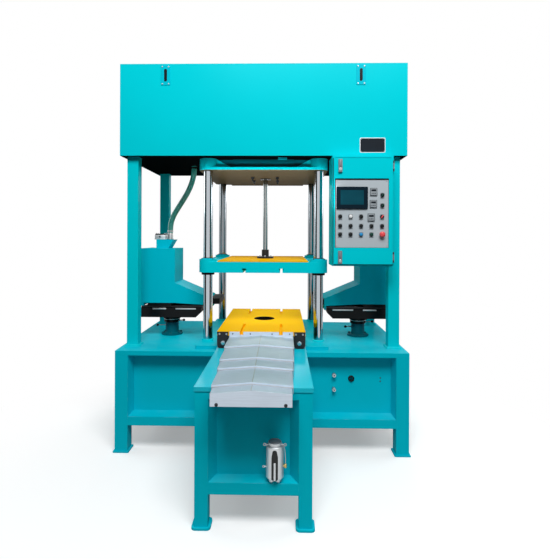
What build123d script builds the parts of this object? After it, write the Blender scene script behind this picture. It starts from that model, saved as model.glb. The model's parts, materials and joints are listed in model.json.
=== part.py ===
import os
from math import radians, tan

from build123d import *

os.makedirs("parts", exist_ok=True)

on_floor = (Align.CENTER, Align.CENTER, Align.MIN)
from_front = (Align.CENTER, Align.MIN, Align.MIN)
hanging = (Align.CENTER, Align.MAX)
standing = (Align.CENTER, Align.MIN)
running_gap = 0.3

# Base cabinet
base_d = 1150
base_h = 712
base_top_t = 32
leg_w = 90
tube_wall = 5
foot_lip = 10
foot_t = 12
rail_lift = 190
rail_h = 60
panel_t = 4
side_panel_inset = 20
bed_t = 24
bed_margin = 60
bed_front = 70
bed_rear_margin = 5
bed_corner_r = 12

# Front table
table_w = 618
table_reach = 815
table_inset = 4
table_leg_w = 70
table_rail_lift = 180
table_upper_rail_h = 40
table_foot_lip = 15
table_foot_r = 22
table_panel_inset = 14

# Posts and hood
post_w = 80
hood_lap = 5
hood_front = 95
hood_rear_gap = 5
hood_lift = 1383
hood_h = 660
hood_t = 3
hood_side_overhang = 40
hood_end_overhang = 45
deck_t = 12

# Columns and platens
column_d = 70
column_x = 415
column_front = 255
column_rear = 75
column_flange_d = 110
column_flange_t = 26
boss_d = 130
boss_rise = 18
platen_lift = 512
platen_t = 80
seal_d = 96
seal_t = 18
slot_x = 137
slot_w = 18
slot_depth = 32
slot_head_w = 32
slot_head_h = 13
face_t = 8
face_gap = 15
top_platen_h = 86
top_plate_t = 20
gusset_l = 120
gusset_t = 16
rib_x = 190
rib_t = 16
rib_h = 60
rod_d = 40
rod_gap = 2.5
rod_engagement = 151
rod_flange_d = 140
rod_flange_t = 16
hub_d = 60
hub_h = 56
gland_d = 92
gland_t = 12
cylinder_d = 180
cylinder_wall = 12
cylinder_cap_t = 25
cylinder_flange_d = 250
cylinder_flange_t = 26
cylinder_gap = 4
cylinder_head_room = 83

# Trolley
trolley_side_gap = 1.5
trolley_rear_margin = 140
trolley_t = 30
trolley_hole_d = 166
trolley_hole_share = 0.515
trolley_slot_l = 285
trolley_backing_t = 8
shoe_rise = 89
shoe_w = 80
shoe_d = 120
shoe_r = 24
shoe_plate_t = 6
shoe_plate_lift = 20
shoe_plate_drop = 3
shoe_plate_foot_w = 46

# Telescopic way cover, rear section first
cover_overhang = 185
cover_shoe_gap = 5.5
cover_sheet = 1.5
cover_side_gap = 5
cover_drop = 10
cover_rise = 17
cover_step = 12
cover_wall_gap = 6
cover_front_shares = (0.278, 0.533, 0.67, 0.915, 1)
cover_rear_shares = (0, 0.2, 0.36, 0.57, 0.69)
cover_flange_t = 3
cover_flange_drop = 2
cover_notch_w = 26
end_plate_t = 3
end_plate_drop = 31
end_notch_w = 12
end_notch_h = 10
end_notch_inset = 31
stay_inset = 66
stay_w = 30

# Control cabinet
cabinet_w = 420
cabinet_platen_gap = 10
cabinet_d = 240
cabinet_h = 767
cabinet_drop = 14
cabinet_sheet = 3
cabinet_rim = 16
door_t = 20
door_gap = 5
door_left_margin = 6
door_right_margin = 10
door_low_margin = 14
door_high_margin = 23
panel_set_back = 6
panel_lap = 4
panel_left_margin = 8
panel_right_margin = 28
panel_low_margin = 113
panel_high_margin = 141
screen_t = 12
screen_shares = (0.32, 0.721)
screen_size_shares = (0.582, 0.319)
meter_w = 48
meter_t = 9
meter_shares = ((0.72, 0.809), (0.715, 0.636), (0.677, 0.441))
button_d = 30
button_t = 16
button_column_shares = (0.1, 0.294, 0.489, 0.682, 0.878)
button_row_shares = (0.195, 0.317)
selector_shares = (
    (0.1, 0.452), (0.294, 0.452), (0.489, 0.452), (0.878, 0.452), (0.883, 0.763), (0.883, 0.613),
)
stop_d = 40
stop_neck_d = 26
stop_neck_l = 14
stop_cap_l = 16
hinge_shares = (0.066, 0.926)
hinge_d = 12
hinge_h = 40
knuckle_h = 16
leaf_w = 8
latch_w = 26
latch_h = 88
latch_t = 14
latch_margin = 44

# Side shooting heads
head_front = 430
head_d = 300
head_w = 250
head_h = 432
left_head_inset = 66
right_head_inset = 20
nose_l = 279
nose_rise = 161
nose_tip_rise = 43
nose_under_drop = 15
lip_l = 14
lip_drop = 47
mouth_l = 78
mouth_inset = 8
mouth_top_inset = 6
inlet_reach = 171
inlet_low_w = 98
inlet_top_w = 140
inlet_d = 140
inlet_h = 71
valve_w = 88
valve_d = 76
valve_h = 48
valve_offset = 149
spigot_d = 54
spigot_rise = 7
spigot_offset = 74
pedestal_share = 0.54
pedestal_h = 158
pedestal_flange_d = 172
pedestal_flange_t = 14
pedestal_cone_d = 150
pedestal_neck_d = 96
pedestal_ring_d = 176
pedestal_ring_t = 38
slide_end_inset = 35
slide_l = 490
slide_t = 75
slide_inset = 15
slide_cut = 45
guide_rail_w = 24
guide_rail_h = 14
guide_rail_inset = 45
carriage_t = 27.7
carriage_inset = 30

# Sand hose, its bends as shares of its lean and of its height
hose_d = 44
hose_wall = 4
hose_lean = 196
hose_arc_share = 0.45
hose_bend_shares = (
    (0, 0.097), (0.061, 0.198), (0.189, 0.297), (0.362, 0.395), (0.546, 0.497),
    (0.719, 0.602), (0.857, 0.707), (0.949, 0.809), (1, 0.907),
)

# Fittings
filter_x = 111
filter_gap = 5
filter_lift = 6
filter_bowl_d = 92
filter_bowl_h = 150
filter_head_d = 76
filter_head_h = 30
filter_cap_d = 60
filter_cap_h = 22
filter_arm_w = 60
filter_arm_h = 22
filter_arm_lift = 4
coupling_d = 26
coupling_l = 40
coupling_shares = ((0.275, 0.665), (0.275, 0.43))
grommet_d = 44
grommet_hole_d = 24
grommet_l = 12
grommet_shares = (0.341, 0.6)

# Widths, levels and planes shared by the pieces
cabinet_x = column_x + boss_d / 2 + cabinet_platen_gap
cabinet_right_x = cabinet_x + cabinet_w
post_x = cabinet_right_x + post_w / 2
hood_w = 2 * (post_x + post_w / 2 + hood_side_overhang)
base_w = hood_w - 2 * hood_lap
trolley_w = table_w - 2 * trolley_side_gap
trolley_d = base_d - trolley_rear_margin
cover_reach = table_reach + cover_overhang
cover_w = trolley_w - 2 * (shoe_w + cover_shoe_gap)
column_pitch = base_d - column_front - column_rear
base_front = (cover_reach - base_d - foot_lip) / 2
base_rear = base_front + base_d
base_mid = base_front + base_d / 2
under_top = base_h - base_top_t
bed_z = base_h + bed_t
hood_z = base_h + hood_lift
hood_y = base_front + hood_front
hood_d = base_d - hood_front - hood_rear_gap
table_front = base_front - table_reach
column_ys = (base_front + column_front, base_front + column_front + column_pitch)
column_places = [(side * column_x, y) for side in (-1, 1) for y in column_ys]
machine_mid = base_front + column_front + column_pitch / 2

legs_x = base_w / 2 - leg_w / 2
legs_y = (base_front + leg_w / 2, base_rear - leg_w / 2)
leg_places = [(side * legs_x, y) for side in (-1, 1) for y in legs_y]
table_legs_x = table_w / 2 - table_inset - table_leg_w / 2
table_leg_front = table_front + table_inset
table_leg_rear = table_leg_front + table_leg_w
table_leg_places = [(side * table_legs_x, table_leg_front + table_leg_w / 2) for side in (-1, 1)]
with BuildPart() as feet:
    with Locations(*[(x, y, 0) for x, y in leg_places]):
        Box(leg_w + 2 * foot_lip, leg_w + 2 * foot_lip, foot_t, align=on_floor)
    with BuildSketch(Plane.XY):
        with Locations(*table_leg_places):
            RectangleRounded(
                table_leg_w + 2 * table_foot_lip, table_leg_w + 2 * table_foot_lip, table_foot_r
            )
    extrude(amount=foot_t)
feet.part.label = "feet"
export_step(feet.part, "parts/feet.step")

with BuildPart() as legs:
    with BuildSketch(Plane.XY.offset(foot_t)):
        with Locations(*leg_places):
            Rectangle(leg_w, leg_w)
            Rectangle(leg_w - 2 * tube_wall, leg_w - 2 * tube_wall, mode=Mode.SUBTRACT)
    extrude(amount=under_top - foot_t)
    with BuildSketch(Plane.XY.offset(foot_t)):
        with Locations(*table_leg_places):
            Rectangle(table_leg_w, table_leg_w)
            Rectangle(table_leg_w - 2 * tube_wall, table_leg_w - 2 * tube_wall, mode=Mode.SUBTRACT)
    extrude(amount=base_h - foot_t)
legs.part.label = "legs"
export_step(legs.part, "parts/legs.step")

base_open_w = base_w - 2 * leg_w
base_open_d = base_d - 2 * leg_w
with BuildPart() as base_rails:
    with Locations(*[(0, y, rail_lift) for y in legs_y]):
        Box(base_open_w, leg_w, rail_h, align=on_floor)
    with Locations(*[(side * legs_x, base_mid, rail_lift) for side in (-1, 1)]):
        Box(leg_w - 2 * tube_wall, base_open_d, rail_h, align=on_floor)
base_rails.part.label = "base_rails"
export_step(base_rails.part, "parts/base_rails.step")

panel_low = rail_lift + rail_h
panel_h = under_top - panel_low
side_panel_x = base_w / 2 - side_panel_inset - panel_t / 2
with BuildPart() as base_side_panels:
    with Locations(*[(side * side_panel_x, base_mid, panel_low) for side in (-1, 1)]):
        Box(panel_t, base_open_d, panel_h, align=on_floor)
base_side_panels.part.label = "base_side_panels"
export_step(base_side_panels.part, "parts/base_side_panels.step")

front_panel_w = 2 * side_panel_x - panel_t
base_panel_y = base_front + leg_w
grommet_place = (grommet_shares[0] * base_open_w, panel_low + grommet_shares[1] * panel_h)
with BuildPart() as base_front_back_panels:
    with Locations((0, base_panel_y, panel_low), (0, base_rear - leg_w - panel_t, panel_low)):
        Box(front_panel_w, panel_t, panel_h, align=from_front)
    with BuildSketch(Plane.XZ.offset(-base_panel_y)):
        with Locations(grommet_place):
            Circle(grommet_hole_d / 2)
    extrude(amount=-panel_t, mode=Mode.SUBTRACT)
base_front_back_panels.part.label = "base_front_back_panels"
export_step(base_front_back_panels.part, "parts/base_front_back_panels.step")

with BuildPart() as panel_fittings:
    with BuildSketch(Plane.XZ.offset(-base_panel_y)):
        with Locations(*[(x * base_open_w, panel_low + z * panel_h) for x, z in coupling_shares]):
            Circle(coupling_d / 2)
    extrude(amount=coupling_l)
    with BuildSketch(Plane.XZ.offset(-base_panel_y)):
        with Locations(grommet_place):
            Circle(grommet_d / 2)
            Circle(grommet_hole_d / 2, mode=Mode.SUBTRACT)
    extrude(amount=grommet_l)
panel_fittings.part.label = "panel_fittings"
export_step(panel_fittings.part, "parts/panel_fittings.step")

with BuildPart() as base_top_plate:
    with Locations((0, base_mid, under_top)):
        Box(base_w, base_d, base_top_t, align=on_floor)
base_top_plate.part.label = "base_top_plate"
export_step(base_top_plate.part, "parts/base_top_plate.step")

bed_w = 2 * (column_x + bed_margin)
bed_d = base_d - bed_front - bed_rear_margin
with BuildPart() as bed_plate:
    with BuildSketch(Plane.XY.offset(base_h)):
        with Locations((0, base_front + bed_front + bed_d / 2)):
            RectangleRounded(bed_w, bed_d, bed_corner_r)
    extrude(amount=bed_t)
bed_plate.part.label = "bed_plate"
export_step(bed_plate.part, "parts/bed_plate.step")

table_open_w = table_w - 2 * table_inset - 2 * table_leg_w
table_side_l = base_front - table_leg_rear
with BuildPart() as table_rails:
    with Locations((0, table_leg_front, table_rail_lift)):
        Box(table_open_w, table_leg_w, rail_h, align=from_front)
    with Locations((0, table_leg_front, base_h - table_upper_rail_h)):
        Box(table_open_w, table_upper_rail_h, table_upper_rail_h, align=from_front)
    with Locations(*[(side * table_legs_x, table_leg_rear, table_rail_lift) for side in (-1, 1)]):
        Box(table_leg_w - 2 * tube_wall, table_side_l, rail_h, align=from_front)
table_rails.part.label = "table_rails"
export_step(table_rails.part, "parts/table_rails.step")

table_panel_x = table_w / 2 - table_inset - table_panel_inset - panel_t / 2
table_panel_low = table_rail_lift + rail_h
table_panel_h = base_h - table_panel_low
with BuildPart() as table_side_panels:
    with Locations(*[(side * table_panel_x, table_leg_rear, table_panel_low) for side in (-1, 1)]):
        Box(panel_t, table_side_l, table_panel_h, align=from_front)
table_side_panels.part.label = "table_side_panels"
export_step(table_side_panels.part, "parts/table_side_panels.step")

with BuildPart() as table_front_panel:
    with Locations((0, table_leg_rear, table_panel_low)):
        Box(2 * table_panel_x - panel_t, panel_t, table_panel_h, align=from_front)
table_front_panel.part.label = "table_front_panel"
export_step(table_front_panel.part, "parts/table_front_panel.step")

with BuildPart() as table_top:
    with Locations((0, table_front, base_h)):
        Box(table_w, table_reach + bed_front, bed_t, align=from_front)
table_top.part.label = "table_top"
export_step(table_top.part, "parts/table_top.step")

filter_mid = table_leg_rear - filter_gap - filter_bowl_d / 2
filter_z = table_panel_low + filter_lift
filter_arm_z = filter_z + filter_bowl_h + filter_arm_lift
with BuildPart() as air_filter:
    with Locations((filter_x, filter_mid, filter_z)):
        Cylinder(filter_bowl_d / 2, filter_bowl_h, align=on_floor)
        Cylinder(filter_head_d / 2, filter_bowl_h + filter_head_h, align=on_floor)
        Cylinder(filter_cap_d / 2, filter_bowl_h + filter_head_h + filter_cap_h, align=on_floor)
    with Locations((filter_x, filter_mid, filter_arm_z)):
        Box(filter_arm_w, table_leg_rear - filter_mid, filter_arm_h, align=from_front)
air_filter.part.label = "air_filter"
export_step(air_filter.part, "parts/air_filter.step")

post_inset = hood_end_overhang + post_w / 2
post_ys = (hood_y + post_inset, hood_y + hood_d - post_inset)
with BuildPart() as frame_posts:
    with BuildSketch(Plane.XY.offset(base_h)):
        with Locations(*[(side * post_x, y) for side in (-1, 1) for y in post_ys]):
            Rectangle(post_w, post_w)
            Rectangle(post_w - 2 * tube_wall, post_w - 2 * tube_wall, mode=Mode.SUBTRACT)
    extrude(amount=hood_lift)
frame_posts.part.label = "frame_posts"
export_step(frame_posts.part, "parts/frame_posts.step")

with BuildPart() as upper_deck:
    with Locations((0, hood_y + hood_t, hood_z)):
        Box(hood_w - 2 * hood_t, hood_d - 2 * hood_t, deck_t, align=from_front)
    with Locations((0, machine_mid, hood_z)):
        Cylinder(cylinder_d / 2 + cylinder_gap, deck_t, align=on_floor, mode=Mode.SUBTRACT)
upper_deck.part.label = "upper_deck"
export_step(upper_deck.part, "parts/upper_deck.step")

hood_side_h = hood_h - hood_t
with BuildPart() as hood_front_panel:
    with Locations((0, hood_y, hood_z)):
        Box(hood_w, hood_t, hood_side_h, align=from_front)
hood_front_panel.part.label = "hood_front_panel"
export_step(hood_front_panel.part, "parts/hood_front_panel.step")

with BuildPart() as hood_rear_panel:
    with Locations((0, hood_y + hood_d - hood_t, hood_z)):
        Box(hood_w, hood_t, hood_side_h, align=from_front)
hood_rear_panel.part.label = "hood_rear_panel"
export_step(hood_rear_panel.part, "parts/hood_rear_panel.step")

hood_side_x = hood_w / 2 - hood_t / 2
with BuildPart() as hood_side_panels:
    with Locations(*[(side * hood_side_x, hood_y + hood_t, hood_z) for side in (-1, 1)]):
        Box(hood_t, hood_d - 2 * hood_t, hood_side_h, align=from_front)
hood_side_panels.part.label = "hood_side_panels"
export_step(hood_side_panels.part, "parts/hood_side_panels.step")

with BuildPart() as hood_top_panel:
    with Locations((0, hood_y, hood_z + hood_side_h)):
        Box(hood_w, hood_d, hood_t, align=from_front)
hood_top_panel.part.label = "hood_top_panel"
export_step(hood_top_panel.part, "parts/hood_top_panel.step")

with BuildPart() as guide_columns:
    with Locations(*[(x, y, bed_z) for x, y in column_places]):
        Cylinder(column_d / 2, hood_z - bed_z, align=on_floor)
guide_columns.part.label = "guide_columns"
export_step(guide_columns.part, "parts/guide_columns.step")

with BuildPart() as column_flanges:
    with Locations(*[(x, y, bed_z) for x, y in column_places]):
        Cylinder(column_flange_d / 2, column_flange_t, align=on_floor)
        Cylinder(column_d / 2 + running_gap, column_flange_t, align=on_floor, mode=Mode.SUBTRACT)
column_flanges.part.label = "column_flanges"
export_step(column_flanges.part, "parts/column_flanges.step")

platen_w = 2 * column_x + boss_d
platen_d = column_pitch + boss_d
platen_corner_r = boss_d / 2 - running_gap
face_w = platen_w - 2 * boss_d - 2 * face_gap
top_platen_z = hood_z - top_platen_h
rib_z = top_platen_z + top_plate_t
with BuildPart() as top_platen:
    with BuildSketch(Plane.XY.offset(top_platen_z)):
        with Locations((0, machine_mid)):
            RectangleRounded(platen_w, platen_d, platen_corner_r)
    extrude(amount=top_plate_t)
    with Locations(*[(x, y, top_platen_z) for x, y in column_places]):
        Cylinder(boss_d / 2, top_platen_h, align=on_floor)
    for column_y in column_ys:
        with BuildSketch(Plane.XZ.offset(-column_y - gusset_t / 2)):
            for side in (-1, 1):
                with BuildLine():
                    Polyline(
                        (side * column_x, rib_z),
                        (side * column_x, hood_z),
                        (side * (column_x - boss_d / 2), hood_z),
                        (side * (column_x - boss_d / 2 - gusset_l), rib_z),
                        close=True,
                    )
                make_face()
        extrude(amount=gusset_t)
    with Locations(*[(side * rib_x, machine_mid, rib_z) for side in (-1, 1)]):
        Box(rib_t, column_pitch, rib_h, align=on_floor)
    with Locations(*[(x, y, top_platen_z) for x, y in column_places]):
        Cylinder(column_d / 2 + running_gap, top_platen_h, align=on_floor, mode=Mode.SUBTRACT)
    with Locations((0, machine_mid, top_platen_z)):
        Cylinder(rod_d / 2 + rod_gap, top_plate_t, align=on_floor, mode=Mode.SUBTRACT)
top_platen.part.label = "top_platen"
export_step(top_platen.part, "parts/top_platen.step")

with BuildPart() as top_platen_face:
    with Locations((0, machine_mid, top_platen_z - face_t)):
        Box(face_w, platen_d, face_t, align=on_floor)
        Cylinder(gland_d / 2 + running_gap, face_t, align=on_floor, mode=Mode.SUBTRACT)
top_platen_face.part.label = "top_platen_face"
export_step(top_platen_face.part, "parts/top_platen_face.step")

with BuildPart() as rod_gland:
    with Locations((0, machine_mid, top_platen_z - gland_t)):
        Cylinder(gland_d / 2, gland_t, align=on_floor)
        Cylinder(rod_d / 2 + rod_gap, gland_t, align=on_floor, mode=Mode.SUBTRACT)
rod_gland.part.label = "rod_gland"
export_step(rod_gland.part, "parts/rod_gland.step")

cylinder_h = hood_z + hood_side_h - cylinder_head_room - rib_z
with BuildPart() as clamp_cylinder:
    with Locations((0, machine_mid, rib_z)):
        Cylinder(cylinder_flange_d / 2, cylinder_flange_t, align=on_floor)
        Cylinder(cylinder_d / 2, cylinder_h, align=on_floor)
        Cylinder(rod_d / 2 + rod_gap, cylinder_h - cylinder_cap_t, align=on_floor, mode=Mode.SUBTRACT)
    with Locations((0, machine_mid, rib_z + cylinder_cap_t)):
        Cylinder(
            cylinder_d / 2 - cylinder_wall,
            cylinder_h - 2 * cylinder_cap_t,
            align=on_floor,
            mode=Mode.SUBTRACT,
        )
clamp_cylinder.part.label = "clamp_cylinder"
export_step(clamp_cylinder.part, "parts/clamp_cylinder.step")

platen_z = bed_z + platen_lift
platen_top_z = platen_z + platen_t
slot_head_z = platen_z + slot_depth - slot_head_h
with BuildPart() as moving_platen:
    with BuildSketch(Plane.XY.offset(platen_z)):
        with Locations((0, machine_mid)):
            RectangleRounded(platen_w, platen_d, platen_corner_r)
    extrude(amount=platen_t)
    with Locations(*[(x, y, platen_z) for x, y in column_places]):
        Cylinder(boss_d / 2, platen_t + boss_rise, align=on_floor)
        Cylinder(
            column_d / 2 + running_gap, platen_t + boss_rise, align=on_floor, mode=Mode.SUBTRACT
        )
    with Locations(*[(side * slot_x, machine_mid, platen_z) for side in (-1, 1)]):
        Box(slot_w, platen_d, slot_depth, align=on_floor, mode=Mode.SUBTRACT)
    with Locations(*[(side * slot_x, machine_mid, slot_head_z) for side in (-1, 1)]):
        Box(slot_head_w, platen_d, slot_head_h, align=on_floor, mode=Mode.SUBTRACT)
moving_platen.part.label = "moving_platen"
export_step(moving_platen.part, "parts/moving_platen.step")

with BuildPart() as moving_platen_face:
    with Locations((0, machine_mid, platen_top_z)):
        Box(face_w, platen_d, face_t, align=on_floor)
moving_platen_face.part.label = "moving_platen_face"
export_step(moving_platen_face.part, "parts/moving_platen_face.step")

with BuildPart() as platen_seals:
    with Locations(*[(x, y, platen_z - seal_t) for x, y in column_places]):
        Cylinder(seal_d / 2, seal_t, align=on_floor)
        Cylinder(column_d / 2 + running_gap, seal_t, align=on_floor, mode=Mode.SUBTRACT)
platen_seals.part.label = "platen_seals"
export_step(platen_seals.part, "parts/platen_seals.step")

rod_foot_z = platen_top_z + face_t
rod_bottom_z = rod_foot_z + rod_flange_t + hub_h
with BuildPart() as rod_coupling:
    with Locations((0, machine_mid, rod_foot_z)):
        Cylinder(rod_flange_d / 2, rod_flange_t, align=on_floor)
        Cylinder(hub_d / 2, rod_flange_t + hub_h, align=on_floor)
rod_coupling.part.label = "rod_coupling"
export_step(rod_coupling.part, "parts/rod_coupling.step")

with BuildPart() as piston_rod:
    with Locations((0, machine_mid, rod_bottom_z)):
        Cylinder(rod_d / 2, rib_z + rod_engagement - rod_bottom_z, align=on_floor)
piston_rod.part.label = "piston_rod"
export_step(piston_rod.part, "parts/piston_rod.step")

trolley_z = bed_z + shoe_rise
trolley_top_z = trolley_z + trolley_t
trolley_rear = base_front + trolley_d
trolley_hole_y = base_front + trolley_hole_share * trolley_d
with BuildPart() as trolley_backing_plate:
    with Locations((0, base_front, trolley_z)):
        Box(trolley_w, trolley_d, trolley_backing_t, align=from_front)
    with Locations((0, trolley_hole_y, trolley_z)):
        Cylinder(trolley_hole_d / 2, trolley_backing_t, align=on_floor, mode=Mode.SUBTRACT)
trolley_backing_plate.part.label = "trolley_backing_plate"
export_step(trolley_backing_plate.part, "parts/trolley_backing_plate.step")

slot_floor_z = trolley_z + trolley_backing_t
slotted_t = trolley_t - trolley_backing_t
with BuildPart() as trolley_plate:
    with Locations((0, base_front, slot_floor_z)):
        Box(2 * slot_x - slot_w, trolley_d, slotted_t, align=from_front)
    with Locations((0, trolley_hole_y, slot_floor_z)):
        Cylinder(trolley_hole_d / 2, slotted_t, align=on_floor, mode=Mode.SUBTRACT)
trolley_plate.part.label = "trolley_plate"
export_step(trolley_plate.part, "parts/trolley_plate.step")

side_plate_w = trolley_w / 2 - slot_x - slot_w / 2
side_plate_x = trolley_w / 2 - side_plate_w / 2
with BuildPart() as trolley_side_plates:
    with Locations(*[(side * side_plate_x, base_front, slot_floor_z) for side in (-1, 1)]):
        Box(side_plate_w, trolley_d, slotted_t, align=from_front)
trolley_side_plates.part.label = "trolley_side_plates"
export_step(trolley_side_plates.part, "parts/trolley_side_plates.step")

# Bars that close the slots between their open ends
with BuildPart() as trolley_slot_bars:
    with Locations(*[(side * slot_x, base_front + trolley_slot_l, slot_floor_z) for side in (-1, 1)]):
        Box(slot_w, trolley_d - 2 * trolley_slot_l, slotted_t, align=from_front)
trolley_slot_bars.part.label = "trolley_slot_bars"
export_step(trolley_slot_bars.part, "parts/trolley_slot_bars.step")

shoe_x = trolley_w / 2 - shoe_w / 2
shoe_low = bed_z + running_gap
shoe_h = trolley_z - shoe_low
with BuildPart() as trolley_shoes:
    for shoe_y in (base_front, trolley_rear - shoe_d):
        with BuildSketch(Plane.XZ.offset(-shoe_y)):
            with Locations(*[(side * shoe_x, shoe_low + shoe_h / 2) for side in (-1, 1)]):
                RectangleRounded(shoe_w, shoe_h, shoe_r)
            with Locations(*[(side * shoe_x, trolley_z) for side in (-1, 1)]):
                Rectangle(shoe_w, shoe_h / 2, align=hanging)
        extrude(amount=-shoe_d)
    with BuildSketch(Plane.XZ.offset(-base_front)):
        for side in (-1, 1):
            with BuildLine():
                Polyline(
                    (side * shoe_x - shoe_w / 2, trolley_top_z - shoe_plate_drop),
                    (side * shoe_x + shoe_w / 2, trolley_top_z - shoe_plate_drop),
                    (side * shoe_x + shoe_plate_foot_w / 2, bed_z + shoe_plate_lift),
                    (side * shoe_x - shoe_plate_foot_w / 2, bed_z + shoe_plate_lift),
                    close=True,
                )
            make_face()
    extrude(amount=shoe_plate_t)
trolley_shoes.part.label = "trolley_shoes"
export_step(trolley_shoes.part, "parts/trolley_shoes.step")

cover_wall_z = bed_z + cover_wall_gap
cover_lip = cover_step - cover_sheet - running_gap
cover_nest = cover_sheet + cover_side_gap
cover_sections = [
    (
        cover_w / 2 - index * cover_nest,
        trolley_z - cover_drop - index * cover_step,
        cover_reach * front,
        cover_reach * rear,
    )
    for index, (front, rear) in enumerate(zip(cover_front_shares, cover_rear_shares))
]
for number, (half_w, side_z, front, rear) in enumerate(cover_sections, start=1):
    ridge_z = side_z + cover_rise
    with BuildPart() as cover_section:
        with BuildSketch(Plane.XZ.offset(rear - base_front)):
            with BuildLine():
                Polyline(
                    (-half_w, cover_wall_z),
                    (-half_w, side_z),
                    (0, ridge_z),
                    (half_w, side_z),
                    (half_w, cover_wall_z),
                    (half_w - cover_sheet, cover_wall_z),
                    (half_w - cover_sheet, side_z - cover_sheet),
                    (0, ridge_z - cover_sheet),
                    (cover_sheet - half_w, side_z - cover_sheet),
                    (cover_sheet - half_w, cover_wall_z),
                    close=True,
                )
            make_face()
        extrude(amount=front - rear)
        if number < len(cover_sections):
            with BuildSketch(Plane.XZ.offset(front - base_front - cover_sheet)):
                with BuildLine():
                    Polyline(
                        (-half_w, side_z),
                        (0, ridge_z),
                        (half_w, side_z),
                        (half_w, side_z - cover_sheet - cover_lip),
                        (0, ridge_z - cover_sheet - cover_lip),
                        (-half_w, side_z - cover_sheet - cover_lip),
                        close=True,
                    )
                make_face()
            extrude(amount=cover_sheet)
        else:
            end_z = bed_z - end_plate_drop
            with BuildSketch(Plane.XZ.offset(front - base_front - end_plate_t)):
                with BuildLine():
                    Polyline(
                        (-half_w, end_z),
                        (-half_w, side_z),
                        (0, ridge_z),
                        (half_w, side_z),
                        (half_w, end_z),
                        close=True,
                    )
                make_face()
                with Locations(*[(side * (half_w - end_notch_inset), end_z) for side in (-1, 1)]):
                    Rectangle(end_notch_w, end_notch_h, align=standing, mode=Mode.SUBTRACT)
            extrude(amount=end_plate_t)
            stay_y = base_front - front + end_plate_t
            stay_z = end_z + end_notch_h
            stay_x = half_w - stay_inset
            with Locations(*[(side * stay_x, stay_y, stay_z) for side in (-1, 1)]):
                Box(stay_w, table_front - stay_y, bed_z - stay_z, align=from_front)
        if number == 1:
            flange_top_z = trolley_top_z - cover_flange_drop
            with BuildSketch(Plane.XZ.offset(-base_front)):
                with BuildLine():
                    Polyline(
                        (-half_w, side_z - cover_sheet),
                        (-half_w, flange_top_z),
                        (half_w, flange_top_z),
                        (half_w, side_z - cover_sheet),
                        (0, ridge_z - cover_sheet),
                        close=True,
                    )
                make_face()
                with Locations(*[(side * slot_x, flange_top_z) for side in (-1, 1)]):
                    Rectangle(
                        cover_notch_w, flange_top_z - ridge_z, align=hanging, mode=Mode.SUBTRACT
                    )
            extrude(amount=cover_flange_t)
    cover_section.part.label = f"cover_section_{number}"
    export_step(cover_section.part, f"parts/cover_section_{number}.step")

cabinet_mid_x = cabinet_x + cabinet_w / 2
cabinet_z = hood_z - cabinet_drop - cabinet_h
with BuildPart() as control_cabinet:
    with Locations((cabinet_mid_x, base_front, cabinet_z)):
        Box(cabinet_w, cabinet_d, cabinet_h, align=from_front)
    with Locations((cabinet_mid_x, base_front + cabinet_sheet, cabinet_z + cabinet_sheet)):
        Box(
            cabinet_w - 2 * cabinet_sheet,
            cabinet_d - 2 * cabinet_sheet,
            cabinet_h - 2 * cabinet_sheet,
            align=from_front,
            mode=Mode.SUBTRACT,
        )
    with Locations((cabinet_mid_x, base_front, cabinet_z + cabinet_rim)):
        Box(
            cabinet_w - 2 * cabinet_rim,
            cabinet_sheet,
            cabinet_h - 2 * cabinet_rim,
            align=from_front,
            mode=Mode.SUBTRACT,
        )
control_cabinet.part.label = "control_cabinet"
export_step(control_cabinet.part, "parts/control_cabinet.step")

door_x = cabinet_x + door_left_margin
door_w = cabinet_w - door_left_margin - door_right_margin
door_z = cabinet_z + door_low_margin
door_h = cabinet_h - door_low_margin - door_high_margin
door_y = base_front - door_gap - door_t
panel_x = door_x + panel_left_margin
panel_w = door_w - panel_left_margin - panel_right_margin
panel_z = door_z + panel_low_margin
operator_panel_h = door_h - panel_low_margin - panel_high_margin
panel_y = door_y + panel_set_back
with BuildPart() as cabinet_door:
    with Locations((door_x + door_w / 2, door_y, door_z)):
        Box(door_w, door_t, door_h, align=from_front)
    with Locations((door_x + door_w / 2, panel_y, door_z + cabinet_sheet)):
        Box(
            door_w - 2 * cabinet_sheet,
            door_t - panel_set_back,
            door_h - 2 * cabinet_sheet,
            align=from_front,
            mode=Mode.SUBTRACT,
        )
    with Locations((panel_x + panel_w / 2, door_y, panel_z)):
        Box(panel_w, panel_set_back, operator_panel_h, align=from_front, mode=Mode.SUBTRACT)
cabinet_door.part.label = "cabinet_door"
export_step(cabinet_door.part, "parts/cabinet_door.step")

with BuildPart() as operator_panel:
    with Locations((panel_x + panel_w / 2, panel_y, panel_z - panel_lap)):
        Box(panel_w + 2 * panel_lap, cabinet_sheet, operator_panel_h + 2 * panel_lap, align=from_front)
operator_panel.part.label = "operator_panel"
export_step(operator_panel.part, "parts/operator_panel.step")

screen_x = panel_x + screen_shares[0] * panel_w
screen_z = panel_z + screen_shares[1] * operator_panel_h
screen_w = screen_size_shares[0] * panel_w
screen_h = screen_size_shares[1] * operator_panel_h
with BuildPart() as touch_screen:
    with Locations((screen_x, panel_y - screen_t, screen_z - screen_h / 2)):
        Box(screen_w, screen_t, screen_h, align=from_front)
touch_screen.part.label = "touch_screen"
export_step(touch_screen.part, "parts/touch_screen.step")

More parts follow.
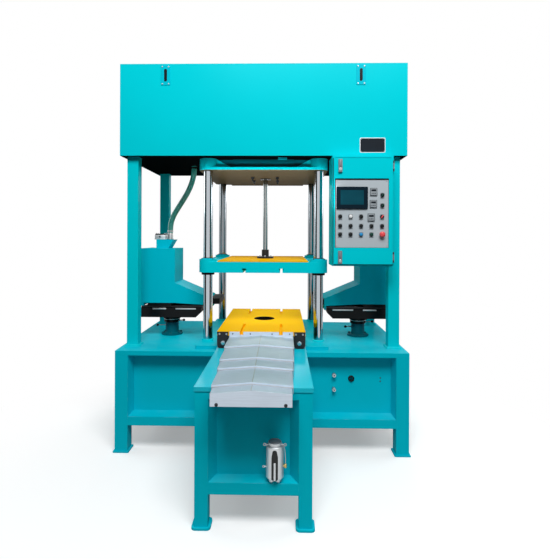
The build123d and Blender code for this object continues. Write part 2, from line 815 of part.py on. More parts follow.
stop_shares = (button_column_shares[-1], button_row_shares[0])
button_shares = [(x, z) for z in button_row_shares for x in button_column_shares if (x, z) != stop_shares]
with BuildPart() as panel_controls:
    with BuildSketch(Plane.XZ.offset(-panel_y)):
        with Locations(*[(panel_x + x * panel_w, panel_z + z * operator_panel_h) for x, z in meter_shares]):
            Rectangle(meter_w, meter_w)
    extrude(amount=meter_t)
    with BuildSketch(Plane.XZ.offset(-panel_y)):
        with Locations(
            *[
                (panel_x + x * panel_w, panel_z + z * operator_panel_h)
                for x, z in [*button_shares, *selector_shares]
            ]
        ):
            Circle(button_d / 2)
    extrude(amount=button_t)
panel_controls.part.label = "panel_controls"
export_step(panel_controls.part, "parts/panel_controls.step")

stop_place = (panel_x + stop_shares[0] * panel_w, panel_z + stop_shares[1] * operator_panel_h)
with BuildPart() as emergency_stop:
    with BuildSketch(Plane.XZ.offset(-panel_y)):
        with Locations(stop_place):
            Circle(stop_neck_d / 2)
    extrude(amount=stop_neck_l)
    with BuildSketch(Plane.XZ.offset(stop_neck_l - panel_y)):
        with Locations(stop_place):
            Circle(stop_d / 2)
    extrude(amount=stop_cap_l)
emergency_stop.part.label = "emergency_stop"
export_step(emergency_stop.part, "parts/emergency_stop.step")

hinge_x = door_x + door_w + hinge_d / 2 + running_gap
hinge_y = door_y + door_t / 2
hinge_zs = [door_z + share * door_h for share in hinge_shares]
with BuildPart() as door_hardware:
    with Locations(*[(door_x + latch_margin, door_y - latch_t, z - latch_h / 2) for z in hinge_zs]):
        Box(latch_w, latch_t, latch_h, align=from_front)
    with Locations(*[(hinge_x, hinge_y, z) for z in hinge_zs]):
        Cylinder(hinge_d / 2, hinge_h)
door_hardware.part.label = "door_hardware"
export_step(door_hardware.part, "parts/door_hardware.step")

knuckle_pitch = hinge_h / 2 + running_gap + knuckle_h / 2
knuckle_places = [(hinge_x, hinge_y, z + side * knuckle_pitch) for z in hinge_zs for side in (-1, 1)]
with BuildPart() as cabinet_hinges:
    with Locations(*knuckle_places):
        Cylinder(hinge_d / 2, knuckle_h)
        Box(leaf_w, base_front - hinge_y, knuckle_h, align=(Align.CENTER, Align.MIN, Align.CENTER))
cabinet_hinges.part.label = "cabinet_hinges"
export_step(cabinet_hinges.part, "parts/cabinet_hinges.step")

slide_z = base_h + pedestal_h
rail_z = slide_z + slide_t
carriage_z = rail_z + guide_rail_h + running_gap
head_z = carriage_z + carriage_t
head_top_z = head_z + head_h
inlet_top_z = head_top_z + inlet_h
spigot_h = valve_h + spigot_rise
nose_tip_z = head_z + nose_tip_rise
nose_under_z = head_z - nose_under_drop
mouth_z = nose_under_z + mouth_inset
head_y = base_front + head_front
head_rear = head_y + head_d
head_mid = head_y + head_d / 2
slide_d = head_d - 2 * slide_inset
left_head_x = base_w / 2 - left_head_inset - head_w
right_head_x = base_w / 2 - right_head_inset - head_w
for word, side, inner in (("left", -1, left_head_x), ("right", 1, right_head_x)):
    tip = inner - nose_l
    with BuildPart() as head_housing:
        with BuildSketch(Plane.XZ.offset(-head_rear)):
            with BuildLine():
                Polyline(
                    (side * (inner + head_w), head_z),
                    (side * (inner + head_w), head_top_z),
                    (side * inner, head_top_z),
                    (side * inner, head_z + nose_rise),
                    (side * tip, nose_tip_z),
                    (side * tip, head_z - lip_drop),
                    (side * (tip + lip_l), head_z - lip_drop),
                    (side * (tip + lip_l), nose_under_z),
                    (side * inner, head_z),
                    close=True,
                )
            make_face()
        extrude(amount=head_d)
        with BuildSketch(Plane.XZ.offset(-head_mid - inlet_d / 2)):
            with BuildLine():
                Polyline(
                    (side * (inner + inlet_reach), head_top_z),
                    (side * (inner + inlet_reach), inlet_top_z),
                    (side * (inner + inlet_reach - inlet_top_w), inlet_top_z),
                    (side * (inner + inlet_reach - inlet_low_w), head_top_z),
                    close=True,
                )
            make_face()
        extrude(amount=inlet_d)
    head_housing.part.label = f"{word}_head_housing"
    export_step(head_housing.part, f"parts/{word}_head_housing.step")

    with BuildPart() as head_mouth:
        with Locations((side * (tip - mouth_l / 2), head_mid, mouth_z)):
            Box(
                mouth_l,
                head_d - 2 * mouth_inset,
                nose_tip_z - mouth_top_inset - mouth_z,
                align=on_floor,
            )
    head_mouth.part.label = f"{word}_head_mouth"
    export_step(head_mouth.part, f"parts/{word}_head_mouth.step")

    with BuildPart() as head_valve:
        with Locations((side * (inner + valve_offset), head_mid, inlet_top_z)):
            Box(valve_w, valve_d, valve_h, align=on_floor)
        with Locations((side * (inner + spigot_offset), head_mid, inlet_top_z)):
            Cylinder(spigot_d / 2, spigot_h, align=on_floor)
    head_valve.part.label = f"{word}_head_valve"
    export_step(head_valve.part, f"parts/{word}_head_valve.step")

    with BuildPart() as head_carriage:
        with Locations((side * (inner + head_w / 2), head_mid, carriage_z)):
            Box(head_w - 2 * carriage_inset, slide_d, carriage_t, align=on_floor)
    head_carriage.part.label = f"{word}_head_carriage"
    export_step(head_carriage.part, f"parts/{word}_head_carriage.step")

slide_rear = head_rear - slide_inset
slide_x = base_w / 2 - slide_end_inset - slide_l
with BuildPart() as head_slides:
    with BuildSketch(Plane.XZ.offset(-slide_rear)):
        for side in (-1, 1):
            with BuildLine():
                Polyline(
                    (side * (slide_x + slide_l), slide_z),
                    (side * (slide_x + slide_l), rail_z),
                    (side * slide_x, rail_z),
                    (side * slide_x, slide_z + slide_cut),
                    (side * (slide_x + slide_cut), slide_z),
                    close=True,
                )
            make_face()
    extrude(amount=slide_d)
head_slides.part.label = "head_slides"
export_step(head_slides.part, "parts/head_slides.step")

rail_ys = (slide_rear - slide_d + guide_rail_inset, slide_rear - guide_rail_inset)
rail_places = [(side * (slide_x + slide_l / 2), y, rail_z) for side in (-1, 1) for y in rail_ys]
with BuildPart() as head_guide_rails:
    with Locations(*rail_places):
        Box(slide_l, guide_rail_w, guide_rail_h, align=on_floor)
head_guide_rails.part.label = "head_guide_rails"
export_step(head_guide_rails.part, "parts/head_guide_rails.step")

pedestal_x = slide_x + pedestal_share * slide_l
pedestal_places = [(side * pedestal_x, head_mid) for side in (-1, 1)]
pedestal_ring_z = slide_z - pedestal_ring_t
pedestal_cone_z = base_h + pedestal_flange_t
with BuildPart() as head_pedestals:
    with Locations(*[(x, y, base_h) for x, y in pedestal_places]):
        Cylinder(pedestal_flange_d / 2, pedestal_flange_t, align=on_floor)
    with Locations(*[(x, y, pedestal_cone_z) for x, y in pedestal_places]):
        Cone(pedestal_cone_d / 2, pedestal_neck_d / 2, pedestal_ring_z - pedestal_cone_z, align=on_floor)
    with Locations(*[(x, y, pedestal_ring_z) for x, y in pedestal_places]):
        Cylinder(pedestal_ring_d / 2, pedestal_ring_t, align=on_floor)
head_pedestals.part.label = "head_pedestals"
export_step(head_pedestals.part, "parts/head_pedestals.step")

hose_x = -left_head_x - spigot_offset
hose_z = inlet_top_z + spigot_h + running_gap
hose_h = hood_z - hose_z
hose_low = (hose_x, head_mid, hose_z)
hose_bends = [(hose_x + a * hose_lean, head_mid, hose_z + b * hose_h) for a, b in hose_bend_shares]
hose_high = (hose_x + hose_lean, head_mid, hood_z)
hose_route = [hose_low, *hose_bends, hose_high]
hose_runs = [Vector(*b) - Vector(*a) for a, b in zip(hose_route, hose_route[1:])]
hose_radii = [
    hose_arc_share * min(a.length, b.length) / tan(radians(a.get_angle(b)) / 2)
    for a, b in zip(hose_runs, hose_runs[1:])
]
print("hose radii", [round(r) for r in hose_radii])
with BuildPart() as sand_hose:
    with BuildLine() as hose_line:
        FilletPolyline(*hose_route, radius=hose_radii)
    with BuildSketch(Plane(origin=hose_low, z_dir=hose_line.line % 0)):
        Circle(hose_d / 2)
        Circle(hose_d / 2 - hose_wall, mode=Mode.SUBTRACT)
    sweep()
sand_hose.part.label = "sand_hose"
export_step(sand_hose.part, "parts/sand_hose.step")
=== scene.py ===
"""Core shooting machine: finishes, fittings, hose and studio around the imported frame."""
import json
from math import cos, pi, radians, sin

import bmesh
import bpy
from mathutils import Matrix, Vector


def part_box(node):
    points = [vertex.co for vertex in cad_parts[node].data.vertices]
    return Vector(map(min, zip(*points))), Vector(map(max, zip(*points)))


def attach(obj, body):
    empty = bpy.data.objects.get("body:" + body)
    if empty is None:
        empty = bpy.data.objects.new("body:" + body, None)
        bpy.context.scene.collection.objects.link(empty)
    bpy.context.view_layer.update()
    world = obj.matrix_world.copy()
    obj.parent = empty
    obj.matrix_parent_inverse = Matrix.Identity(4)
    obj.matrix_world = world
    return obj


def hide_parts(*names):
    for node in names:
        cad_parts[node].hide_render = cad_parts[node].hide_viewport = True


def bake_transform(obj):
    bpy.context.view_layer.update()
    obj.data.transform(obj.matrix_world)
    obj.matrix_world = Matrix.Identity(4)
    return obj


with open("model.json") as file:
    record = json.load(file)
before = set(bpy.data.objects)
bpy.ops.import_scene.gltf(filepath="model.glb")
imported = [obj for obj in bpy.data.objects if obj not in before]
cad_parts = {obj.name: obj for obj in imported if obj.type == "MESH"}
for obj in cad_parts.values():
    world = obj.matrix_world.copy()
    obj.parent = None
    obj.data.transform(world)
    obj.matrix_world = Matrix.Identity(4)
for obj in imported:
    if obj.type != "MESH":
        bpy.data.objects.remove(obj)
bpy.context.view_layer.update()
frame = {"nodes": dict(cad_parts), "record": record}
scene = bpy.context.scene
MM = 0.001
SIDES = (-1, 1)

RIGHT, LEFT = Vector((1, 0, 0)), Vector((-1, 0, 0))
BACK, FORWARD = Vector((0, 1, 0)), Vector((0, -1, 0))
UP, DOWN = Vector((0, 0, 1)), Vector((0, 0, -1))


# Camera, at the photograph's viewpoint

PHOTO_W, PHOTO_H = 550, 559
FOCAL_PX = 450
PRINCIPAL_PX = (272.9, 239.0)
EYE = Vector((0.1478, -3.2044, 1.5052))
YAW, PITCH, ROLL = 0.0222, -0.002, 0.0043
SENSOR_MM = 36


def place_camera():
    data = bpy.data.cameras.new("photo_camera")
    data.sensor_width = SENSOR_MM
    data.lens = FOCAL_PX / PHOTO_H * SENSOR_MM
    data.shift_x = (PHOTO_W / 2 - PRINCIPAL_PX[0]) / PHOTO_H
    data.shift_y = (PRINCIPAL_PX[1] - PHOTO_H / 2) / PHOTO_H
    camera = bpy.data.objects.new("photo_camera", data)
    level = Matrix.Rotation(YAW, 4, "Z") @ Matrix.Rotation(pi / 2 + PITCH, 4, "X")
    camera.matrix_world = Matrix.Translation(EYE) @ level @ Matrix.Rotation(ROLL, 4, "Z")
    scene.collection.objects.link(camera)
    scene.camera = camera


place_camera()


# Node trees: one way to add a node, and arithmetic on sockets


class Value:
    """A node's output; arithmetic on it adds Math nodes to its tree."""

    def __init__(self, tree, socket):
        self.tree, self.socket = tree, socket

    def math(self, operation, *values, clamp=False):
        settings = {"operation": operation, "use_clamp": clamp}
        return self.tree.add("ShaderNodeMath", settings, dict(enumerate(values)))

    def __add__(self, other):
        return self.math("ADD", self, other)

    __radd__ = __add__

    def __sub__(self, other):
        return self.math("SUBTRACT", self, other)

    def __rsub__(self, other):
        return self.math("SUBTRACT", other, self)

    def __mul__(self, other):
        return self.math("MULTIPLY", self, other)

    __rmul__ = __mul__

    def clamped(self):
        return self.math("ADD", self, 0, clamp=True)

    def between(self, low, high):
        """0 below low, 1 above high, smooth between them."""
        settings = {"interpolation_type": "SMOOTHSTEP"}
        return self.tree.add("ShaderNodeMapRange", settings, {"Value": self, 1: low, 2: high})


class Tree:
    """A node group or a material's nodes, filled by add()."""

    def __init__(self, group):
        self.group = group

    def add(self, kind, settings=None, values=None, out=0):
        node = self.group.nodes.new(kind)
        for key, setting in (settings or {}).items():
            setattr(node, key, setting)
        for key, value in (values or {}).items():
            if isinstance(value, Value):
                self.group.links.new(value.socket, node.inputs[key])
            else:
                node.inputs[key].default_value = value
        if isinstance(out, tuple):
            return [Value(self, node.outputs[name]) for name in out]
        return Value(self, node.outputs[out]) if node.outputs else node


class Finish(Tree):
    """A material with one Principled surface, read in Object coordinates."""

    SOCKETS = {
        "colour": "Base Color", "rough": "Roughness", "metal": "Metallic", "coat": "Coat Weight",
        "coat_rough": "Coat Roughness", "normal": "Normal", "glow": "Emission Color",
        "glow_strength": "Emission Strength", "clear": "Transmission Weight", "ior": "IOR",
        "specular": "Specular IOR Level",
    }

    def __init__(self, name):
        self.material = bpy.data.materials.new(name)
        self.material.use_nodes = True
        super().__init__(self.material.node_tree)
        self.group.nodes.clear()
        self.place = self.add("ShaderNodeTexCoord", out="Object")

    def noise(self, scale, detail=2.0, stretch=None):
        place = self.place
        if stretch:
            place = self.add("ShaderNodeMapping", values={"Vector": place, "Scale": stretch})
        return self.add("ShaderNodeTexNoise", values={"Vector": place, "Scale": scale, "Detail": detail})

    def mix(self, factor, low, high):
        low, high = [c if isinstance(c, Value) else (*c, 1) for c in (low, high)]
        return self.add("ShaderNodeMix", {"data_type": "RGBA"}, {0: factor, 6: low, 7: high}, out=2)

    def along(self, axis):
        return self.add("ShaderNodeSeparateXYZ", values={0: self.place}, out=axis)

    def normal(self):
        return self.add("ShaderNodeNewGeometry", out="Normal")

    def upward(self):
        return self.add("ShaderNodeSeparateXYZ", values={0: self.normal()}, out="Z").clamped()

    def rounded(self, radius):
        return self.add("ShaderNodeBevel", {"samples": 4}, {"Radius": radius})

    def edges(self, rounded, gain):
        """1 along the edges that rounded() softens, 0 on the flats."""
        values = {0: rounded, 1: self.normal()}
        along = self.add("ShaderNodeVectorMath", {"operation": "DOT_PRODUCT"}, values, out="Value")
        return ((1 - along) * gain).clamped()

    def bump(self, height, distance, normal=None):
        values = {"Height": height, "Distance": distance}
        if normal:
            values["Normal"] = normal
        return self.add("ShaderNodeBump", values=values)

    def done(self, **sockets):
        values = {}
        for key, value in sockets.items():
            plain_colour = key in ("colour", "glow") and not isinstance(value, Value)
            values[self.SOCKETS[key]] = (*value, 1) if plain_colour else value
        shader = self.add("ShaderNodeBsdfPrincipled", values=values)
        self.add("ShaderNodeOutputMaterial", values={"Surface": shader})
        return self.material


def shade(colour, factor):
    return tuple(min(1, c * factor) for c in colour)


def toward(colour, other, share):
    return tuple(a + (b - a) * share for a, b in zip(colour, other))


DUST = (0.52, 0.5, 0.45)
THIN_PAINT = (0.75, 0.85, 0.85)
BARE_STEEL = (0.5, 0.5, 0.5)
PAINT_LINE = 0.5 * MM
SHADE_FADE = 0.1


def enamel(name, colour, *, rough=0.42, gloss=0.07, edge=2.5 * MM, dust=0.06, wear=0.3, under=None):
    """Sprayed enamel: orange peel, a slow drift of tone, thin paint on the edges, dust on top faces.

    under is a height and the darker colour below it, which paints shade on a part's underside.
    """
    f = Finish(name)
    drift = f.noise(1.3, 3)
    film = f.noise(14, 4)
    peel = f.noise(310, 1)
    corner = f.rounded(edge)
    worn = f.edges(corner, 2.4) * film.between(0.42, 0.72)
    dusty = f.upward() * f.noise(5, 5).between(0.35, 0.8)
    tone = f.mix(drift, shade(colour, 0.93), shade(colour, 1.07))
    tone = f.mix(worn * wear, tone, toward(colour, THIN_PAINT, 0.5))
    tone = f.mix(dusty * dust, tone, DUST)
    # Painted shade: below the height the tone turns to the darker colour given.
    if under:
        height, painted_shade_colour = under
        tone = f.mix(f.along("Z").between(height, height + PAINT_LINE), painted_shade_colour, tone)
    return f.done(
        colour=tone,
        rough=rough + film * 0.1 + dusty * 0.15,
        specular=0.0,
        coat=gloss,
        coat_rough=0.25,
        normal=f.bump(peel, 0.25 * MM, corner),
    )


def hard_chrome(name, colour=(0.53, 0.58, 0.62), rough=0.09, painted_shade_from=0.6):
    """Ground and plated bar: fine lines round it and a thin uneven oil film, and painted shade that darkens
    it behind a depth.
    """
    f = Finish(name)
    lines = f.noise(60, 2, (1, 1, 28))
    film = f.noise(7, 3, (1, 1, 0.25))
    tone = f.mix(film, shade(colour, 0.84), colour)
    # Painted shade: behind the given depth along Y the tone drops to half, for the rear columns deep in the
    # machine.
    tone = f.mix(f.along("Y").between(painted_shade_from, painted_shade_from + SHADE_FADE), tone, shade(colour, 0.5))
    return f.done(
        colour=tone,
        metal=1.0,
        rough=rough + lines * 0.05 + film.between(0.45, 0.75) * 0.08,
        normal=f.bump(lines, 0.02 * MM, f.rounded(1.2 * MM)),
    )


def brushed_sheet(name, colour=(0.58, 0.66, 0.75)):
    """Brushed stainless sheet, grained across the machine, with faint dull patches and scratches."""
    f = Finish(name)
    grain = f.noise(170, 3, (0.05, 1, 1))
    patch = f.noise(4.5, 4)
    scratch = f.noise(38, 2, (1, 0.06, 1)).between(0.69, 0.74)
    tone = f.mix(grain, shade(colour, 0.82), shade(colour, 1.12))
    tone = f.mix(patch.between(0.45, 0.75) * 0.25, tone, shade(colour, 0.8))
    return f.done(
        colour=tone,
        metal=0.72,
        rough=0.33 + grain * 0.14 + patch * 0.08 - scratch * 0.1,
        normal=f.bump(grain + scratch * 0.6, 0.06 * MM, f.rounded(0.8 * MM)),
    )


def machined_steel(name, colour, *, rough=0.36, metal=0.9, grain=90):
    """Turned or milled steel with a fine grain and soft stains."""
    f = Finish(name)
    fine = f.noise(grain, 3)
    stain = f.noise(11, 4)
    corner = f.rounded(0.9 * MM)
    bright = f.edges(corner, 2.2)
    tone = f.mix(stain, shade(colour, 0.78), shade(colour, 1.1))
    tone = f.mix(bright * 0.5, tone, toward(colour, BARE_STEEL, 0.6))
    return f.done(
        colour=tone, metal=metal, rough=rough + fine * 0.12 + stain * 0.08,
        normal=f.bump(fine, 0.08 * MM, corner),
    )


def moulded(name, colour, *, rough=0.38, gloss=0.2, grain=260, edge=1.0 * MM):
    """Moulded plastic or rubber with a fine eroded grain and slight handling sheen."""
    f = Finish(name)
    fine = f.noise(grain, 2)
    touch = f.noise(18, 3)
    tone = f.mix(touch, shade(colour, 0.88), shade(colour, 1.12))
    return f.done(
        colour=tone, rough=rough + touch * 0.14 - fine * 0.04, specular=gloss,
        normal=f.bump(fine, 0.05 * MM, f.rounded(edge)),
    )


def clear_hose(name, colour=(0.025, 0.36, 0.3), sand=(0.25, 0.5, 0.42)):
    """Clear greenish hose wall with sand dust inside it."""
    f = Finish(name)
    dusty = f.noise(22, 4, (1, 1, 0.3)).between(0.35, 0.75)
    tone = f.mix(dusty * 0.25, colour, sand)
    return f.done(colour=tone, rough=0.2 + dusty * 0.25, clear=0.3, ior=1.4, coat=0.15, coat_rough=0.1)


def lit_screen(name, colour=(0.003, 0.045, 0.065)):
    """Display glass: a dim blue-green picture area under gloss."""
    f = Finish(name)
    sweep = f.noise(6, 1, (1, 1, 2))
    tone = f.mix(sweep, shade(colour, 0.75), shade(colour, 1.5))
    return f.done(colour=tone, rough=0.25, specular=0.05, glow=tone, glow_strength=0.2)


# The two teals are one paint: the lighter copy on the hood and other high parts paints the stronger light up
# there, the darker copy is for the base and table.
TEAL = (0.0, 0.56, 0.7)
LIT_TEAL = (0.0, 0.66, 0.75)
YELLOW = (1.0, 0.5, 0.004)
# Yellow paint darkened to the shade under the top platen: painted shade.
PAINTED_SHADE_YELLOW = (0.135, 0.104, 0.06)
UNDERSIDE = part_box("top_platen")[0].z + 0.3 * MM
NEVER = 9.0

finishes = {
    "teal_paint": enamel("teal_enamel", TEAL),
    "hood_paint": enamel("hood_enamel", LIT_TEAL),
    "table_paint": enamel("table_enamel", TEAL, gloss=0.5),
    # Painted shade: teal darkened for parts in deep shade, the top platen's web and the head pedestals.
    "painted_shade_teal": enamel("dark_teal_enamel", (0.0, 0.13, 0.17), gloss=0.1),
    # Painted shade: near-black deck closing the hood from below, for the dark hollow under the hood.
    "deck_paint": enamel("deck_dark_paint", (0.006, 0.008, 0.009), rough=0.6, gloss=0.0, wear=0.0),
    "yellow_paint": enamel("yellow_enamel", YELLOW, gloss=0.03, dust=0.0, wear=0.1),
    "painted_shade_yellow": enamel("worn_yellow_enamel", PAINTED_SHADE_YELLOW, gloss=0.05, wear=0.1),
    "top_platen_paint": enamel("top_platen_enamel", LIT_TEAL, under=(UNDERSIDE, PAINTED_SHADE_YELLOW)),
    "chrome": hard_chrome("hard_chrome"),
    # Darker chrome for the piston rod.
    "oiled_chrome": hard_chrome("oiled_chrome", (0.36, 0.39, 0.39), painted_shade_from=NEVER),
    "stainless": brushed_sheet("brushed_stainless"),
    "black_paint": enamel("satin_black", (0.006, 0.007, 0.008), gloss=0.2, wear=0.06),
    "black_rubber": moulded("black_rubber", (0.009, 0.009, 0.01), rough=0.6, gloss=0.1),
    "black_steel": machined_steel("black_oxide_steel", (0.022, 0.024, 0.027), rough=0.42, metal=0.6),
    "aluminium": machined_steel("cast_aluminium", (0.62, 0.64, 0.66), rough=0.38),
    "panel_grey": enamel("panel_grey", (0.5, 0.56, 0.6), edge=1.5 * MM, wear=0.05),
    "screen": moulded("screen_bezel", (0.004, 0.014, 0.024), rough=0.3, gloss=0.05),
    "control_black": moulded("control_black", (0.01, 0.011, 0.012), rough=0.32, gloss=0.15),
    "stop_red": moulded("stop_red", (0.85, 0.075, 0.085), rough=0.26, gloss=0.4),
    "hose_green": clear_hose("clear_green_hose"),
    "zinc": machined_steel("zinc_plated_steel", (0.5, 0.51, 0.52), rough=0.3),
    "dull_zinc": machined_steel("dull_zinc_plate", (0.2, 0.215, 0.23), rough=0.45, metal=0.6),
    "rail_steel": machined_steel("oiled_rail_steel", (0.06, 0.065, 0.07), rough=0.4, metal=0.7),
    "brass": machined_steel("brass", (0.62, 0.44, 0.16), rough=0.28),
    "white_plastic": moulded("white_plastic", (0.93, 0.94, 0.94), rough=0.3),
    "blue_plastic": moulded("blue_plastic", (0.03, 0.32, 0.68), rough=0.28),
    "green_plastic": moulded("green_plastic", (0.006, 0.05, 0.036), rough=0.28),
    "legend_grey": moulded("legend_grey", (0.36, 0.4, 0.43), rough=0.45, gloss=0.1),
    "meter_grey": moulded("meter_grey", (0.13, 0.15, 0.165), rough=0.45, gloss=0.1),
    "plate_dark": moulded("dark_plate", (0.012, 0.016, 0.022), rough=0.4, gloss=0.08),
    "display": lit_screen("display_glass"),
    "sight_dark": moulded("dark_sight_glass", (0.008, 0.009, 0.01), rough=0.12, gloss=0.3),
    "dome_grey": machined_steel("grey_casting", (0.2, 0.22, 0.25), rough=0.5, metal=0.5),
}
NODE_FINISHES = {
    "table_top": "table_paint", "top_platen": "top_platen_paint", "top_platen_face": "painted_shade_yellow",
    "moving_platen": "hood_paint", "control_cabinet": "hood_paint", "cabinet_door": "hood_paint",
    "piston_rod": "oiled_chrome", "head_guide_rails": "rail_steel", "door_hardware": "dull_zinc",
}
for part in frame["record"]["subparts"]:
    mesh = frame["nodes"][part["node"]].data
    mesh.materials.clear()
    mesh.materials.append(finishes[NODE_FINISHES.get(part["node"], part["material_slot"])])


# Making pieces


SHARP = radians(34)


def blanks(count):
    """Empty forms to build pieces in."""
    return [bmesh.new() for _ in range(count)]


def mm(*points):
    """Points given in millimetres, in metres."""
    return [tuple(c * MM for c in point) for point in points]


def piece(name, form, finish, body="frame", stands_for=()):
    """A bmesh becomes a shaded piece that rides on a body, in place of the CAD nodes it stands for."""
    bmesh.ops.remove_doubles(form, verts=form.verts, dist=0.01 * MM)
    bmesh.ops.recalc_face_normals(form, faces=form.faces)
    mesh = bpy.data.meshes.new(name)
    form.to_mesh(mesh)
    form.free()
    return shaded(name, mesh, finish, body, stands_for)


def shaded(name, mesh, finish, body, stands_for=()):
    mesh.materials.clear()
    mesh.materials.append(finishes[finish])
    mesh.polygons.foreach_set("use_smooth", [True] * len(mesh.polygons))
    mesh.set_sharp_from_angle(angle=SHARP)
    made = bpy.data.objects.new(name, mesh)
    scene.collection.objects.link(made)
    if body:
        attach(made, body)
    if stands_for:
        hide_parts(*stands_for)
    return made


def facing(place, axis):
    """A seat at a place: its Z runs along the axis, and on an upright face its Y runs up."""
    return Matrix.Translation(place) @ Vector(axis).to_track_quat("Z", "Y").to_matrix().to_4x4()


def local(seat, x, y, z=0):
    """A place on a seat, in millimetres from it."""
    return seat @ Vector((x * MM, y * MM, z * MM))


def moved(seat, x, y, z=0):
    """A seat shifted along its own axes, in millimetres."""
    return seat @ Matrix.Translation((x * MM, y * MM, z * MM))


def corners_on(seat, half_w, half_h, height=0):
    """Four places on a seat about its middle, in millimetres from it."""
    return [local(seat, u * half_w, v * half_h, height) for u in SIDES for v in SIDES]


def slab(form, low, high, edge, seat=Matrix()):
    """A box between two corners of a seat, its edges rounded by millimetres."""
    low, high = Vector(low), Vector(high)
    made = bmesh.ops.create_cube(form, size=1)["verts"]
    shape = Matrix.Translation((low + high) / 2) @ Matrix.Diagonal((*(high - low), 1))
    bmesh.ops.transform(form, matrix=seat @ shape, verts=made)
    edges = list(dict.fromkeys(e for v in made for e in v.link_edges))
    shape = {"segments": 2, "profile": 0.5, "affect": "EDGES", "clamp_overlap": True}
    bmesh.ops.bevel(form, geom=edges, offset=edge * MM, **shape)


def bridge(form, rings):
    """Faces between neighbouring rings of points; a ring of one point is a tip."""
    for low, high in zip(rings, rings[1:]):
        for i in range(max(len(low), len(high))):
            pairs = (low, i), (low, i + 1), (high, i + 1), (high, i)
            corners = dict.fromkeys(ring[k % len(ring)] for ring, k in pairs)
            form.faces.new(corners)


def turned(form, place, axis, profile, sides=40):
    """A lathe shape from (radius, height) points along an axis; a radius of zero closes it."""
    seat = facing(place, axis)
    rings = []
    for radius, height in profile:
        turns = [2 * pi * i / sides for i in range(sides if radius else 1)]
        places = [Vector((radius * cos(a), radius * sin(a), height)) for a in turns]
        rings.append([form.verts.new(seat @ place) for place in places])
    bridge(form, rings)


def spun(form, seat, profile, sides=32):
    """A lathe shape on a seat."""
    turned(form, seat.translation, seat.to_3x3() @ UP, profile, sides)


def drum(radius, length, edge):
    """Profile of a closed drum with broken edges, from millimetres."""
    face = radius - edge
    return mm((0, 0), (face, 0), (radius, edge), (radius, length - edge), (face, length), (0, length))


def hoop(form, place, axis, radius, thick, sides=28, around=10):
    """A round ring of round bar, its radii in millimetres."""
    turns = [2 * pi * i / around for i in range(around + 1)]
    turned(form, place, axis, mm(*((radius + thick * cos(a), thick * sin(a)) for a in turns)), sides)


def swept(form, points, radius, wall=0.0, sides=24):
    """A round bar along points, or a hollow one with a wall."""
    turns = [2 * pi * i / sides for i in range(sides)]
    outer, inner, side = [], [], None
    for i, place in enumerate(points):
        ahead = (points[min(i + 1, len(points) - 1)] - points[max(i - 1, 0)]).normalized()
        side = side or ahead.orthogonal()
        side = (side - ahead * side.dot(ahead)).normalized()
        spokes = [side * cos(a) + ahead.cross(side) * sin(a) for a in turns]
        outer.append([form.verts.new(place + spoke * radius) for spoke in spokes])
        if wall:
            inner.append([form.verts.new(place + spoke * (radius - wall)) for spoke in spokes])
    if wall:
        bridge(form, outer + inner[::-1] + outer[:1])
    else:
        bridge(form, outer)
        form.faces.new(outer[0])
        form.faces.new(outer[-1])


def along(start, end, count):
    """Evenly spaced places from start to end."""
    start, end = Vector(start), Vector(end)
    return [start.lerp(end, i / (count - 1)) for i in range(count)]


def rows_of(start, end, heights, count):
    """Evenly spaced places over a level line, at each height."""
    start, end = Vector((*start, 0)), Vector((*end, 0))
    return [place for h in heights for place in along(start + UP * h, end + UP * h, count)]


def circle_of(middle, radius, count, start=0.0):
    """Places around an upright axis."""
    turns = [start + 2 * pi * i / count for i in range(count)]
    return [Vector(middle) + Vector((radius * cos(a), radius * sin(a), 0)) for a in turns]


# Screws, nuts and welds: geometry trees


def new_group(name, inputs, result):
    """An empty geometry tree with named inputs; returns it and its inputs as values."""
    group = bpy.data.node_groups.new(name, "GeometryNodeTree")
    for title, kind in inputs.items():
        group.interface.new_socket(title, in_out="INPUT", socket_type=f"NodeSocket{kind}")
    group.interface.new_socket(result, in_out="OUTPUT", socket_type="NodeSocketGeometry")
    tree = Tree(group)
    given = group.nodes.new("NodeGroupInput").outputs
    return tree, {title: Value(tree, given[title]) for title in inputs}


def close_group(tree, shape, finish):
    whole = tree.add("GeometryNodeRealizeInstances", values={0: shape})
    coated = tree.add("GeometryNodeSetMaterial", values={"Geometry": whole, "Material": finish})
    tree.add("NodeGroupOutput", values={0: coated})
    return tree.group


def grown(tree, mesh, top, height, scale):
    """The top face raised by a height, then scaled about its middle."""
    values = {"Mesh": mesh, "Selection": top, "Offset Scale": height}
    mesh, top = tree.add("GeometryNodeExtrudeMesh", {"mode": "FACES"}, values, out=("Mesh", "Top"))
    values = {"Geometry": mesh, "Selection": top, "Scale": scale}
    return tree.add("GeometryNodeScaleElements", {"domain": "FACE"}, values), top


